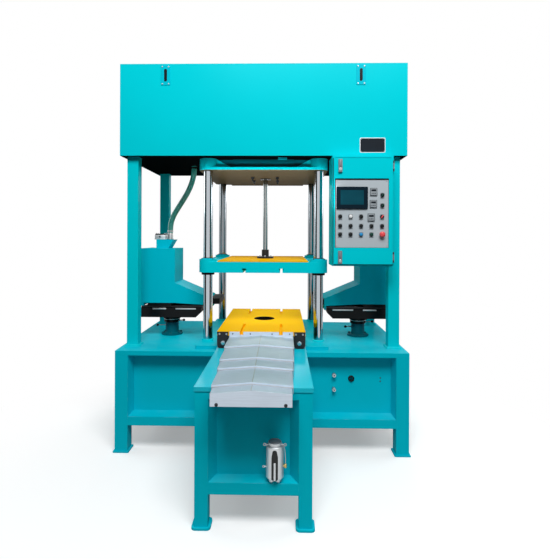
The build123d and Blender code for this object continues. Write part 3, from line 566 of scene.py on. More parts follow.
def fastener_group():
    """Heads on points: a washer, a chamfered head and a bore, standing along each point's axis."""
    inputs = {
        "Points": "Geometry", "Sides": "Int", "Across": "Float", "Height": "Float", "Washer": "Float",
        "Washer Height": "Float", "Bore Share": "Float", "Bore Height": "Float", "Finish": "Material",
    }
    tree, size = new_group("fastener_heads", inputs, "Heads")
    chamfer_share, chamfer_scale, round_sides, spin_seed = 0.18, 0.86, 24, 7

    def disc(sides, across, height, lift):
        values = {"Vertices": sides, "Radius": across * 0.5, "Depth": height}
        mesh, top = tree.add("GeometryNodeMeshCylinder", values=values, out=("Mesh", "Top"))
        up = tree.add("ShaderNodeCombineXYZ", values={"Z": height * 0.5 + lift})
        return tree.add("GeometryNodeTransform", values={"Geometry": mesh, "Translation": up}), top

    washer, top = disc(round_sides, size["Washer"], size["Washer Height"], 0)
    straight = size["Height"] * (1 - chamfer_share)
    head, top = disc(size["Sides"], size["Across"], straight, size["Washer Height"])
    head, top = grown(tree, head, top, size["Height"] * chamfer_share, chamfer_scale)
    head, top = grown(tree, head, top, 0.0, size["Bore Share"])
    head, top = grown(tree, head, top, size["Bore Height"], 1.0)
    join = tree.group.nodes.new("GeometryNodeJoinGeometry")
    for part_of_head in (washer, head):
        tree.group.links.new(part_of_head.socket, join.inputs[0])
    axis = tree.add("GeometryNodeInputNamedAttribute", {"data_type": "FLOAT_VECTOR"}, {"Name": "axis"})
    upright = tree.add("FunctionNodeAlignRotationToVector", {"axis": "Z"}, {"Vector": axis})
    spin_range = {"Min": 0.0, "Max": 2 * pi, "Seed": spin_seed}
    spin = tree.add("FunctionNodeRandomValue", {"data_type": "FLOAT"}, out="Value")
    for socket in spin.socket.node.inputs:
        if socket.enabled and socket.name in spin_range:
            socket.default_value = spin_range[socket.name]
    turn = tree.add("FunctionNodeAxisAngleToRotation", values={"Axis": (0, 0, 1), "Angle": spin})
    values = {"Rotation": upright, "Rotate By": turn}
    turned_heads = tree.add("FunctionNodeRotateRotation", {"rotation_space": "LOCAL"}, values)
    values = {"Points": size["Points"], "Instance": Value(tree, join.outputs[0]), "Rotation": turned_heads}
    return close_group(tree, tree.add("GeometryNodeInstanceOnPoints", values=values), size["Finish"])


def weld_group():
    """A rippled bead along edges."""
    inputs = {"Edges": "Geometry", "Bead": "Float", "Pitch": "Float", "Finish": "Material"}
    tree, size = new_group("weld_beads", inputs, "Beads")
    ripple_turn, ripple_depth, bead_sides = 2.1, 0.16, 8
    line = tree.add("GeometryNodeMeshToCurve", values={"Mesh": size["Edges"]})
    values = {"Curve": line, "Length": size["Pitch"]}
    line = tree.add("GeometryNodeResampleCurve", {"mode": "LENGTH"}, values)
    step = tree.add("GeometryNodeInputIndex")
    ripple = step.math("SINE", step * ripple_turn) * ripple_depth + 1.0
    line = tree.add("GeometryNodeSetCurveRadius", values={"Curve": line, "Radius": ripple})
    values = {"Resolution": bead_sides, "Radius": size["Bead"]}
    section = tree.add("GeometryNodeCurvePrimitiveCircle", values=values)
    values = {"Curve": line, "Profile Curve": section, "Fill Caps": True}
    return close_group(tree, tree.add("GeometryNodeCurveToMesh", values=values), size["Finish"])


def by_group(name, mesh, group, sizes, finish, body):
    """Runs a geometry tree on a mesh and keeps the result as a plain piece."""
    carrier = bpy.data.objects.new(name, mesh)
    scene.collection.objects.link(carrier)
    modifier = carrier.modifiers.new(name, "NODES")
    modifier.node_group = group
    for item in group.interface.items_tree:
        if item.in_out == "INPUT" and item.name in sizes:
            modifier[item.identifier] = sizes[item.name]
        elif item.in_out == "INPUT" and item.name == "Finish":
            modifier[item.identifier] = finishes[finish]
    now = bpy.context.evaluated_depsgraph_get()
    made = bpy.data.meshes.new_from_object(carrier.evaluated_get(now), depsgraph=now)
    bpy.data.objects.remove(carrier)
    made.name = name
    return shaded(name, made, finish, body)


def fastener(sides, across, height, bore_share, bore_height, washer=None, washer_height=0.4):
    """Sizes of one kind of head, in millimetres; a bore of negative height is a socket, else a stud."""
    sizes = {
        "Across": across, "Height": height, "Bore Height": bore_height,
        "Washer": washer or across, "Washer Height": washer_height,
    }
    return {"Sides": sides, "Bore Share": bore_share, **{key: size * MM for key, size in sizes.items()}}


BEAD, BEAD_PITCH = 3.5 * MM, 4 * MM
CAP_SCREW = fastener(24, 13, 8, 0.52, -4)
SMALL_CAP_SCREW = fastener(20, 8.5, 5, 0.5, -2.5)
HEX_BOLT = fastener(6, 19, 6.4, 0.8, 0.3, washer=21, washer_height=2)
LARGE_HEX_BOLT = fastener(6, 26, 10, 0.8, 0.4, washer=30, washer_height=3)
PAN_SCREW = fastener(20, 9.5, 3, 0.42, -1.4)
SLOT_SCREW = fastener(20, 11, 6, 0.5, -3, washer=17, washer_height=1.6)
RIVET = fastener(16, 5, 1.6, 0.6, 0.2)
STUD_NUT = fastener(6, 27, 13, 0.58, 15, washer=31, washer_height=3)
fastener_heads = fastener_group()
weld_beads = weld_group()


def fasten(name, kind, places, axis, finish="zinc", body="frame"):
    """One piece with a head at each place, standing along the axis."""
    mesh = bpy.data.meshes.new(name)
    mesh.from_pydata(places, [], [])
    heading = mesh.attributes.new("axis", "FLOAT_VECTOR", "POINT")
    heading.data.foreach_set("vector", [c for _ in places for c in axis])
    return by_group(name, mesh, fastener_heads, kind, finish, body)


def panel_screws(group, low, high, margin, heights, rear, counts):
    """Rows of screws on both side panels between two corners, and along the rear's (low x, high x, y)."""
    near, far, (rear_low, rear_high, rear_y) = low.y + margin, high.y - margin, rear
    for word, axis, start, end, count in (
        ("left", LEFT, (low.x, near), (low.x, far), counts[0]),
        ("right", RIGHT, (high.x, near), (high.x, far), counts[0]),
        ("rear", BACK, (rear_low, rear_y), (rear_high, rear_y), counts[1]),
    ):
        fasten(f"{group}_{word}_screws", PAN_SCREW, rows_of(start, end, heights, count), axis)


def weld(name, lines, finish):
    """Weld beads along lines, each a list of places."""
    mesh = bpy.data.meshes.new(name)
    starts = [sum(len(line) for line in lines[:i]) for i in range(len(lines))]
    edges = [(start + i, start + i + 1) for start, line in zip(starts, lines) for i in range(len(line) - 1)]
    mesh.from_pydata([place for line in lines for place in line], edges, [])
    return by_group(name, mesh, weld_beads, {"Bead": BEAD, "Pitch": BEAD_PITCH}, finish, "frame")


def rounded(width, height, radius, steps=5):
    """Outline of a rectangle with round corners, about its middle."""
    outline = []
    for quarter, (sx, sy) in enumerate(((1, 1), (-1, 1), (-1, -1), (1, -1))):
        for i in range(steps + 1):
            a = (quarter + i / steps) * pi / 2
            x, y = sx * (width / 2 - radius), sy * (height / 2 - radius)
            outline.append((x + radius * cos(a), y + radius * sin(a)))
    return outline


def stack(form, seat, levels):
    """A closed form through outlines of as many points, at heights above a seat, in millimetres."""
    rings = [[form.verts.new(local(seat, x, y, height)) for x, y in outline] for outline, height in levels]
    bridge(form, rings)
    form.faces.new(rings[0])
    form.faces.new(rings[-1])


def tile(form, seat, width, height, radius, low, high, edge=0.6):
    """A flat plate with round corners and a broken front edge, in millimetres."""
    outline = rounded(width, height, radius)
    front = rounded(width - 2 * edge, height - 2 * edge, max(radius - edge, 0.1))
    stack(form, seat, [(outline, low), (outline, high - edge), (front, high)])


# Hood: latch plates, bare rating plate, panel screws

hood_low, hood_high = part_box("hood_front_panel")
LATCH_PLATE_X, LATCH_PLATE_DROP = 0.70, 8 * MM
LATCH_PLATE_W, LATCH_PLATE_H, LATCH_PLATE_T = 67, 145, 3
RATING_PLATE_X, RATING_PLATE_Z, RATING_PLATE_W, RATING_PLATE_H = 0.783, 2.1695, 182, 107
HOOD_SCREW_INSET, HOOD_SCREW_COUNTS = 22 * MM, (5, 6)


def dress_hood():
    plates, slots = blanks(2)
    screws = []
    middle_z = hood_high.z - LATCH_PLATE_DROP - LATCH_PLATE_H * MM / 2
    for side in SIDES:
        seat = facing((side * LATCH_PLATE_X, hood_low.y, middle_z), FORWARD)
        tile(plates, seat, LATCH_PLATE_W, LATCH_PLATE_H, 6, 0, LATCH_PLATE_T, 1)
        # Painted shade: a dark tile in each plate stands for its latch slot.
        tile(slots, seat, 21, 90, 9, LATCH_PLATE_T - 1, LATCH_PLATE_T + 0.6, 0.4)
        screws += corners_on(seat, LATCH_PLATE_W / 2 - 11, LATCH_PLATE_H / 2 - 11, LATCH_PLATE_T)
    piece("hood_latch_plates", plates, "teal_paint")
    piece("hood_latch_slot_shades", slots, "black_paint")
    fasten("hood_latch_screws", PAN_SCREW, screws, FORWARD)

    rim, field = blanks(2)
    width, height = RATING_PLATE_W, RATING_PLATE_H
    seat = facing((RATING_PLATE_X, hood_low.y, RATING_PLATE_Z), FORWARD)
    tile(rim, seat, width, height, 9, 0, 1.6)
    tile(field, seat, width - 9, height - 9, 6, 1, 2, 0.3)
    piece("rating_plate_rim", rim, "aluminium")
    piece("rating_plate_field", field, "plate_dark")
    fasten("rating_plate_rivets", RIVET, corners_on(seat, width / 2 - 10, height / 2 - 10, 2), FORWARD)

    low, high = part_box("hood_side_panels")
    margin = 3 * HOOD_SCREW_INSET
    heights = hood_low.z + HOOD_SCREW_INSET, hood_high.z - HOOD_SCREW_INSET
    rear = low.x + margin, high.x - margin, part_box("hood_rear_panel")[1].y
    panel_screws("hood", low, high, margin, heights, rear, HOOD_SCREW_COUNTS)


dress_hood()


# Frame: post foot plates, weld beads, base panel screws, deck block

post_low, post_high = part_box("frame_posts")
top_low, top_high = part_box("base_top_plate")
POST_W, LEG_W, LEG_SET_BACK = 80 * MM, 90 * MM, 5 * MM
FOOT_PLATE_W, FOOT_PLATE_T = 106 * MM, 10 * MM
BASE_SCREW_INSET, BASE_SCREW_MARGIN, BASE_SCREW_COUNTS = 25 * MM, 60 * MM, (4, 7)
BASE_REAR_SCREW_X = 0.9
DECK_BLOCK_XS, DECK_BLOCK_YS, DECK_BLOCK_H = (0.11, 0.175), (0.08, 0.10), 17 * MM


def square(middle, width):
    """Corners of a level square, back to the first."""
    half = width / 2
    corners = ((-half, -half), (half, -half), (half, half), (-half, half), (-half, -half))
    return [Vector(middle) + Vector((x, y, 0)) for x, y in corners]


def dress_frame():
    plates, beads = bmesh.new(), []
    outer, inner = FOOT_PLATE_W / 2, POST_W / 2
    floor, top = post_low.z, post_low.z + FOOT_PLATE_T
    for x in (post_low.x + inner, post_high.x - inner):
        for y in (post_low.y + inner, post_high.y - inner):
            for side in SIDES:
                low, high = sorted((side * inner, side * outer))
                slab(plates, (x - outer, y + low, floor), (x + outer, y + high, top), 1.5)
                slab(plates, (x + low, y - inner, floor), (x + high, y + inner, top), 1.5)
            beads += [square((x, y, top), POST_W), square((x, y, floor), FOOT_PLATE_W)]
            beads.append(square((x, y, post_high.z - 1 * MM), POST_W))
    piece("post_foot_plates", plates, "hood_paint")
    weld("post_welds", beads, "hood_paint")

    rail_low, rail_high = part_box("base_rails")
    seams = []
    for x in (top_low.x + LEG_W, top_high.x - LEG_W):
        for face in (top_low.y + LEG_SET_BACK, top_high.y - LEG_SET_BACK):
            seams.append([Vector((x, face, rail_low.z)), Vector((x, face, rail_high.z))])
            seams.append([Vector((x - LEG_W, face, top_low.z)), Vector((x + LEG_W, face, top_low.z))])
    weld("base_welds", seams, "teal_paint")

    low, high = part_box("base_side_panels")
    heights = low.z + BASE_SCREW_INSET, high.z - BASE_SCREW_INSET
    rear = -BASE_REAR_SCREW_X, BASE_REAR_SCREW_X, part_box("base_front_back_panels")[1].y
    panel_screws("base", low, high, BASE_SCREW_MARGIN, heights, rear, BASE_SCREW_COUNTS)

    block = bmesh.new()
    (x0, x1), (y0, y1) = DECK_BLOCK_XS, DECK_BLOCK_YS
    slab(block, (x0, y0, post_high.z - DECK_BLOCK_H), (x1, y1, post_high.z), 2)
    piece("deck_block", block, "teal_paint")


dress_frame()


# Folded borders of the recessed panels; splays are left, right, low and top

BASE_SPLAYS = (16 * MM, 16 * MM, 16 * MM, 20 * MM)
TABLE_SPLAYS = (36 * MM, 45 * MM, 12 * MM, 30 * MM)
BORDER_STEP, TABLE_SIDE_GAP = 2 * MM, 8 * MM
TABLE_OPENING_HALF, TABLE_OPENING_TOP = 235 * MM, 672 * MM


def bevelled_border(form, corners, splays, front, back):
    """A ring of wedges from an opening's edges in to a panel's face."""
    (x0, z0), (x1, z1) = corners
    left, right, low, top = splays
    outer = (x0, z0), (x1, z0), (x1, z1), (x0, z1)
    inner = (x0 + left, z0 + low), (x1 - right, z0 + low), (x1 - right, z1 - top), (x0 + left, z1 - top)
    loops = (outer, front), (inner, back), (outer, back)
    rings = [[form.verts.new((x, y, z)) for x, z in loop] for loop, y in loops]
    bridge(form, [*rings, rings[0]])


def dress_openings():
    borders = bmesh.new()
    low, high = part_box("base_front_back_panels")
    leg_inner, table_side = top_high.x - LEG_W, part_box("table_top")[1].x + TABLE_SIDE_GAP
    front, rear = (top_low.y + BORDER_STEP, low.y), (top_high.y - BORDER_STEP, high.y)
    for low_x, high_x, depths in (
        (-leg_inner, -table_side, front), (table_side, leg_inner, front), (-leg_inner, leg_inner, rear),
    ):
        bevelled_border(borders, ((low_x, low.z), (high_x, high.z)), BASE_SPLAYS, *depths)
    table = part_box("table_front_panel")[0]
    corners = (-TABLE_OPENING_HALF, table.z), (TABLE_OPENING_HALF, TABLE_OPENING_TOP)
    bevelled_border(borders, corners, TABLE_SPLAYS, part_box("table_rails")[0].y + BORDER_STEP, table.y)
    piece("panel_borders", borders, "table_paint")


dress_openings()


# Columns, platens and rod

COLUMN_X, COLUMN_YS = 0.415, (0.1751, 0.9949)
COLUMN_PLACES = [(x, y) for x in (-COLUMN_X, COLUMN_X) for y in COLUMN_YS]
MACHINE_MID = 0.585
FOOT_COLLAR = mm((35.4, 0), (43, 0), (43, 9), (41, 12), (37, 13), (35.4, 13), (35.4, 0))
BUSH_COLLAR = mm((36, 0), (50, 0), (50, 5), (48, 7), (36, 7), (36, 0))
BUSH_COLLAR_T = 7 * MM
WIPER_LIP = mm((35.6, 0), (42, 0), (38, 4), (35.6, 5), (35.6, 0))
BUSH_SCREW_R, GLAND_SCREW_R, COUPLING_SCREW_R, COUPLING_FLANGE_T = 57 * MM, 36 * MM, 53 * MM, 16 * MM
TOP_BOSS_D, TOP_BOSS_RISE, GUSSET_TOE_X = 130 * MM, 66 * MM, 228 * MM
WEB_SET_BACK, WEB_STEP, WEB_T, WEB_TOP_GAP = 9 * MM, 15 * MM, 5.5 * MM, 0.3 * MM
STUD_XS, STUD_YS = (-0.1, 0.1), (0.455, 0.67)


def dress_press():
    feet, web = blanks(2)
    for place in COLUMN_PLACES:
        turned(feet, (*place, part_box("column_flanges")[0].z), UP, FOOT_COLLAR, 48)
    piece("column_foot_collars", feet, "hood_paint", stands_for=("column_flanges",))

    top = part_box("top_platen")[1].z
    web_front = COLUMN_YS[0] + WEB_SET_BACK
    for half_w, front in ((COLUMN_X - TOP_BOSS_D / 2, web_front), (GUSSET_TOE_X, web_front - WEB_STEP)):
        slab(web, (-half_w, front, top - TOP_BOSS_RISE), (half_w, front + WEB_T, top - WEB_TOP_GAP), 1)
    # The web is in painted shade teal, for the hood's shade on it.
    piece("top_platen_web", web, "painted_shade_teal")
    face_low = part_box("top_platen_face")[0].z
    studs = [Vector((x, y, face_low)) for x in STUD_XS for y in STUD_YS]
    fasten("top_platen_studs", STUD_NUT, studs, DOWN, "black_steel")
    screws = circle_of((0, MACHINE_MID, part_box("rod_gland")[0].z), GLAND_SCREW_R, 6)
    fasten("gland_screws", SMALL_CAP_SCREW, screws, DOWN)

    collars, wipers = blanks(2)
    boss_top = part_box("moving_platen")[1].z
    for place in COLUMN_PLACES:
        turned(collars, (*place, boss_top), UP, BUSH_COLLAR)
        turned(wipers, (*place, boss_top + BUSH_COLLAR_T), UP, WIPER_LIP)
    piece("platen_bush_collars", collars, "teal_paint", "platen")
    piece("platen_wipers", wipers, "black_rubber", "platen")
    screws = [p for place in COLUMN_PLACES for p in circle_of((*place, boss_top), BUSH_SCREW_R, 4, pi / 4)]
    fasten("platen_bush_screws", SMALL_CAP_SCREW, screws, UP, "black_steel", "platen")
    flange_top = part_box("rod_coupling")[0].z + COUPLING_FLANGE_T
    screws = circle_of((0, MACHINE_MID, flange_top), COUPLING_SCREW_R, 6, pi / 6)
    fasten("rod_coupling_screws", CAP_SCREW, screws, UP, "zinc", "platen")


dress_press()


# Trolley: cover flange screws, shoe plate screws, axle nuts, black bush lining the hole that paints its
# shade, end plate screws

SHOE_X, SHOE_SCREW_STEP, SHOE_SCREW_Z, AXLE_Z = 0.265, 24 * MM, 0.838, 0.776
FLANGE_SCREW_XS, FLANGE_SCREW_Z, FLANGE_T = (-0.198, -0.0755, 0.0755, 0.198), 0.839, 3 * MM
END_SCREW_X, END_SCREW_Z = 0.165, 0.7135
HOLE_D, HOLE_Y, HOLE_GAP, BUSH_T = 166 * MM, 0.44, 0.1 * MM, 2 * MM


def dress_trolley():
    flange_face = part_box("cover_section_1")[1].y - FLANGE_T
    screws = [Vector((x, flange_face, FLANGE_SCREW_Z)) for x in FLANGE_SCREW_XS]
    fasten("cover_flange_screws", SMALL_CAP_SCREW, screws, FORWARD, "black_steel", "trolley")
    shoe_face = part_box("trolley_shoes")[0].y
    screws = [Vector((side * SHOE_X + step * SHOE_SCREW_STEP, shoe_face, SHOE_SCREW_Z))
              for side in SIDES for step in SIDES]
    fasten("shoe_plate_screws", CAP_SCREW, screws, FORWARD, "zinc", "trolley")
    axles = [Vector((side * SHOE_X, shoe_face, AXLE_Z)) for side in SIDES]
    fasten("shoe_axle_nuts", LARGE_HEX_BOLT, axles, FORWARD, "chrome", "trolley")
    # Painted shade: a black bush lines the hole, for the dark inside the through-hole.
    bush = bmesh.new()
    bush_low, bush_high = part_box("trolley_backing_plate")[0].z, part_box("trolley_plate")[1].z
    outer, inner, deep = HOLE_D / 2 - HOLE_GAP, HOLE_D / 2 - BUSH_T, bush_high - bush_low
    ring = [(inner, 0), (outer, 0), (outer, deep), (inner, deep), (inner, 0)]
    turned(bush, (0, HOLE_Y, bush_low), UP, ring, 64)
    piece("trolley_hole_shade_lining", bush, "black_paint", "trolley")
    end_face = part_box("cover_section_5")[0].y
    screws = [Vector((side * END_SCREW_X, end_face, END_SCREW_Z)) for side in SIDES]
    fasten("cover_end_screws", SLOT_SCREW, screws, FORWARD, "black_steel")


dress_trolley()


# Way cover: a darker strip along each section's centre fold and a wiper under its front lip, painting the
# fold's shade line and the lip's contact shadow

COVER_STEP, COVER_RISE, COVER_GAP = 12 * MM, 17 * MM, 0.3 * MM
COVER_BODIES = ("trolley", "cover_2", "cover_3", "cover_4", "frame")
FOLD_HALF, FOLD_HEIGHTS, FOLD_ENDS = 2.5 * MM, (-0.3 * MM, 0.2 * MM), (0.5 * MM, 4 * MM)
WIPER_TOP, WIPER_INSET, WIPER_HALF = -7 * MM, 1 * MM, 1 * MM


def roof_strip(form, half_w, ridge, rise, low, high, front, back):
    """A bar under a ridged sheet's outline, between two heights from it."""
    outline = [(-half_w, low - rise), (0, low), (half_w, low - rise), (half_w, high - rise), (0, high),
               (-half_w, high - rise)]
    rings = [[form.verts.new((x, y, ridge + z)) for x, z in outline] for y in (front, back)]
    bridge(form, rings)
    for ring in rings:
        form.faces.new(ring)


def dress_covers():
    last_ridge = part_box("cover_section_5")[1].z
    for number, body in enumerate(COVER_BODIES, 1):
        low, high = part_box(f"cover_section_{number}")
        ridge = last_ridge + (len(COVER_BODIES) - number) * COVER_STEP
        fold_rise = COVER_RISE * FOLD_HALF / high.x
        fold = bmesh.new()
        roof_strip(fold, FOLD_HALF, ridge, fold_rise, *FOLD_HEIGHTS,
                   low.y + FOLD_ENDS[0], high.y - FOLD_ENDS[1])
        # Painted shade: darker zinc strip along the fold, for the shade line of the crease.
        piece(f"cover_fold_shade_{number}", fold, "zinc", body)
        if body != "frame":
            wiper = bmesh.new()
            roof_strip(wiper, high.x - WIPER_INSET, ridge, COVER_RISE, COVER_GAP - COVER_STEP, WIPER_TOP,
                       low.y - WIPER_HALF, low.y + WIPER_HALF)
            # Painted shadow: a wiper in darker zinc under the lip, for the contact shadow on the next
            # section.
            piece(f"cover_wiper_shadow_{number}", wiper, "zinc", body)


dress_covers()


# Cabinet: dark seal around the door, and a dark trim in its opening that is widest at the top and left to
# paint the recess's shadow

panel_low, panel_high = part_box("operator_panel")
PANEL_LAP = 4 * MM
PANEL_X0, PANEL_X1 = panel_low.x + PANEL_LAP, panel_high.x - PANEL_LAP
PANEL_Z0, PANEL_Z1 = panel_low.z + PANEL_LAP, panel_high.z - PANEL_LAP
SEAL_LAP, SEAL_WIDTHS, SEAL_T = 3.5 * MM, (14 * MM,) * 4, 3 * MM
# The opening's trim widths (low, top, left, right) paint the recess's shadow at the top and left.
SHADOW_TRIM_WIDTHS, SHADOW_TRIM_T = (2 * MM, 9 * MM, 5 * MM, 1.5 * MM), 2.5 * MM


def frame_of_strips(form, corners, widths, front, back):
    """Four upright strips just inside a rectangle of (x, z) corners; widths are low, top, left and right."""
    (x0, z0), (x1, z1) = corners
    bottom, top, left, right = widths
    for low, high in (
        ((x0, z0), (x1, z0 + bottom)), ((x0, z1 - top), (x1, z1)),
        ((x0, z0 + bottom), (x0 + left, z1 - top)), ((x1 - right, z0 + bottom), (x1, z1 - top)),
    ):
        slab(form, (low[0], front, low[1]), (high[0], back, high[1]), 0.5)


def dress_seals():
    low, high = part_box("cabinet_door")
    seal, trim = blanks(2)
    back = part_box("control_cabinet")[0].y
    corners = (low.x - SEAL_LAP, low.z - SEAL_LAP), (high.x + SEAL_LAP, high.z + SEAL_LAP)
    frame_of_strips(seal, corners, SEAL_WIDTHS, back - SEAL_T, back)
    corners = (PANEL_X0, PANEL_Z0), (PANEL_X1, PANEL_Z1)
    frame_of_strips(trim, corners, SHADOW_TRIM_WIDTHS, panel_low.y - SHADOW_TRIM_T, panel_low.y)
    piece("cabinet_door_seal", seal, "black_rubber")
    piece("panel_opening_shadow_trim", trim, "black_rubber", "door")


dress_seals()


# Operator panel on the cabinet door; places on it are shares of the panel that shows

BUTTON_COLUMNS = (0.1, 0.294, 0.489, 0.682, 0.878)
UPPER_ROW, LOWER_ROW, SELECTOR_ROW = 0.317, 0.195, 0.452
LOWER_ROW_FINISHES = ("control_black", "control_black", "blue_plastic", "green_plastic")
SELECTOR_ROW_FINISHES = {0: "control_black", 2: "control_black", 4: "stop_red"}
METER_SHARES = ((0.72, 0.809), (0.715, 0.636), (0.677, 0.441))
SIDE_SELECTOR_SHARES = ((0.883, 0.763), (0.883, 0.613))
CORNER_SCREW_SHARES = [(u, v) for u in (0.035, 0.965) for v in (0.03, 0.97)]
PANEL_FINISHES = ("legend_grey", "meter_grey", "control_black", "white_plastic", "blue_plastic",
                  "green_plastic", "stop_red", "plate_dark")
LEGEND_T, RING_R, RING_T, SELECTOR_DISC_T = 1.6, 14.5, 4, 3
BUTTON_DOME = mm((0, 0), (11.5, 0), (11.5, 6), (10, 7.6), (6, 8.6), (0, 9))
SELECTOR_TURN = Matrix.Rotation(radians(-38), 4, "Z")
METER_OUTLINE, METER_FACE, METER_KEY_STEP = (48, 52, 3), (42, 46, 2), 11


def on_panel(across, up):
    place = (PANEL_X0 + across * (PANEL_X1 - PANEL_X0), panel_low.y, PANEL_Z0 + up * (PANEL_Z1 - PANEL_Z0))
    return facing(place, FORWARD)


def dress_panel():
    forms = {finish: bmesh.new() for finish in PANEL_FINISHES}

    def holder(seat):
        tile(forms["legend_grey"], moved(seat, 0, -4), 31, 40, 3, 0, LEGEND_T, 0.4)
        tile(forms["meter_grey"], moved(seat, 0, -18.5), 24, 4, 1, 0, LEGEND_T + 0.4, 0.2)
        spun(forms["meter_grey"], moved(seat, 0, 0, LEGEND_T), drum(RING_R, RING_T, 1.2))

    def push_button(across, up, finish):
        seat = on_panel(across, up)
        holder(seat)
        spun(forms[finish], moved(seat, 0, 0, LEGEND_T + RING_T * 0.6), BUTTON_DOME)

    def selector(across, up, finish):
        seat = on_panel(across, up)
        holder(seat)
        spun(forms["control_black"], moved(seat, 0, 0, LEGEND_T + RING_T), drum(12, SELECTOR_DISC_T, 1))
        turn = moved(seat, 0, 0, LEGEND_T + RING_T + SELECTOR_DISC_T) @ SELECTOR_TURN
        slab(forms[finish], *mm((-4, -12, 0), (4, 12, 9)), 2, turn)

    def meter(seat):
        outer, face = rounded(*METER_OUTLINE), rounded(*METER_FACE)
        stack(forms["meter_grey"], seat, [(outer, 0), (outer, 8), (face, 9), (face, 7.5)])
        tile(forms["legend_grey"], seat, 41, 45, 2, 7, 8.2, 0.3)
        tile(forms["plate_dark"], moved(seat, 0, 9), 33, 14, 1.5, 8, 8.6, 0.2)
        for step in (-METER_KEY_STEP, 0, METER_KEY_STEP):
            tile(forms["meter_grey"], moved(seat, step, -11), 8, 8, 1.5, 8, 9.2, 0.4)

    for across in BUTTON_COLUMNS:
        push_button(across, UPPER_ROW, "control_black")
    for across, finish in zip(BUTTON_COLUMNS, LOWER_ROW_FINISHES):
        push_button(across, LOWER_ROW, finish)
    for column, finish in SELECTOR_ROW_FINISHES.items():
        selector(BUTTON_COLUMNS[column], SELECTOR_ROW, finish)
    push_button(BUTTON_COLUMNS[1], SELECTOR_ROW, "white_plastic")
    for shares in SIDE_SELECTOR_SHARES:
        selector(*shares, "green_plastic")
    for shares in METER_SHARES:
        meter(on_panel(*shares))
    for finish, form in forms.items():
        stands_for = ("panel_controls",) if finish == "control_black" else ()
        piece(f"panel_{finish}", form, finish, "door", stands_for)
    screws = [on_panel(*shares).translation for shares in CORNER_SCREW_SHARES]
    fasten("panel_corner_screws", PAN_SCREW, screws, FORWARD, "zinc", "door")


dress_panel()


# Touch screen, stop button and door latches

VIEW_W_SHARE, VIEW_H_SHARE, VIEW_UP, VIEW_RECESS = 0.76, 0.68, 3, 2.5
STOP_COLLAR = mm((0, 0), (16, 0), (16, 5), (13, 7), (13, 13), (0, 13))
STOP_HEAD = mm((0, 12), (14, 12), (19, 14), (20, 18), (19.4, 23), (16, 27), (9, 29.4), (0, 30))
DOOR_LATCH_X, DOOR_LATCH_ZS = 0.540, (2.004, 1.376)
LATCH_LOCK = mm((0, 0), (10.5, 0), (10.5, 3), (8, 4.5), (8, 6), (0, 6))


def rear_seat(low, high):
    """A seat in the middle of a box's rear face that looks forward."""
    return facing(((low.x + high.x) / 2, high.y, (low.z + high.z) / 2), FORWARD)


def dress_screen():
    low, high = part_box("touch_screen")
    seat = rear_seat(low, high)
    width, depth, height = (high - low) / MM
    view_w, view_h, sunk_depth = VIEW_W_SHARE * width, VIEW_H_SHARE * height, depth - VIEW_RECESS
    outer, front = rounded(width, height, 7), rounded(width - 5, height - 5, 5.5)
    window, sunk = [[(x, y + VIEW_UP) for x, y in rounded(view_w - inset, view_h - inset, radius)]
                    for inset, radius in ((0, 2), (3, 1.5))]
    bezel, display = blanks(2)
    rim = [(outer, 0), (outer, depth - 2.5), (front, depth)]
    stack(bezel, seat, [*rim, (window, depth), (sunk, sunk_depth)])
    tile(display, moved(seat, 0, VIEW_UP, sunk_depth), view_w - 3, view_h - 3, 1.5, -0.5, 0.5, 0.2)
    piece("screen_bezel", bezel, "screen", "door", ("touch_screen",))
    piece("screen_display", display, "display", "door")


def dress_stop():
    seat = rear_seat(*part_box("emergency_stop"))
    collar, head = blanks(2)
    spun(collar, seat, STOP_COLLAR)
    spun(head, seat, STOP_HEAD, 48)
    piece("stop_collar", collar, "control_black", "door")
    piece("stop_head", head, "stop_red", "door", ("emergency_stop",))


def dress_latches():
    handles, locks, slots = blanks(3)
    for z in DOOR_LATCH_ZS:
        seat = facing((DOOR_LATCH_X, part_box("door_hardware")[0].y, z), FORWARD)
        lock = moved(seat, 0, -25, -1)
        slab(handles, *mm((-8, -6, -1), (8, 38, 5)), 2.5, seat)
        spun(locks, lock, LATCH_LOCK)
        # Painted shade: a dark slab on each lock stands for its keyway.
        slab(slots, *mm((-1.2, -4.5, 5.4), (1.2, 4.5, 6.3)), 0.2, lock)
    piece("latch_handles", handles, "dome_grey", "door")
    piece("latch_locks", locks, "zinc", "door")
    piece("latch_key_slot_shades", slots, "plate_dark", "door")


dress_screen()
dress_stop()
dress_latches()


# Base panel fittings: two couplings, the cable grommet and two plug screws

COUPLING_SEATS, GROMMET_SEAT = ((0.5143, 0.536), (0.5143, 0.4349)), (0.63767, 0.508)
PLUG_SCREW_SEATS = ((0.844, 0.515), (0.844, 0.491))
COUPLING_CORE = mm((0, 0), (10, 0), (10, 32), (9, 33), (0, 33))
GRIP_RIB = ((12.4, 0), (13, 1), (13, 3), (12.4, 4))
GRIP_RIBS = [(radius, start + z) for start in range(12, 32, 4) for radius, z in GRIP_RIB]
COUPLING_GRIP = mm((0, 10), *GRIP_RIBS, (0, 33))
GROMMET_RING = mm((12, -6), (13, -6), (22, 0), (22, 5), (19, 10), (15, 12), (12, 9), (12, -6))


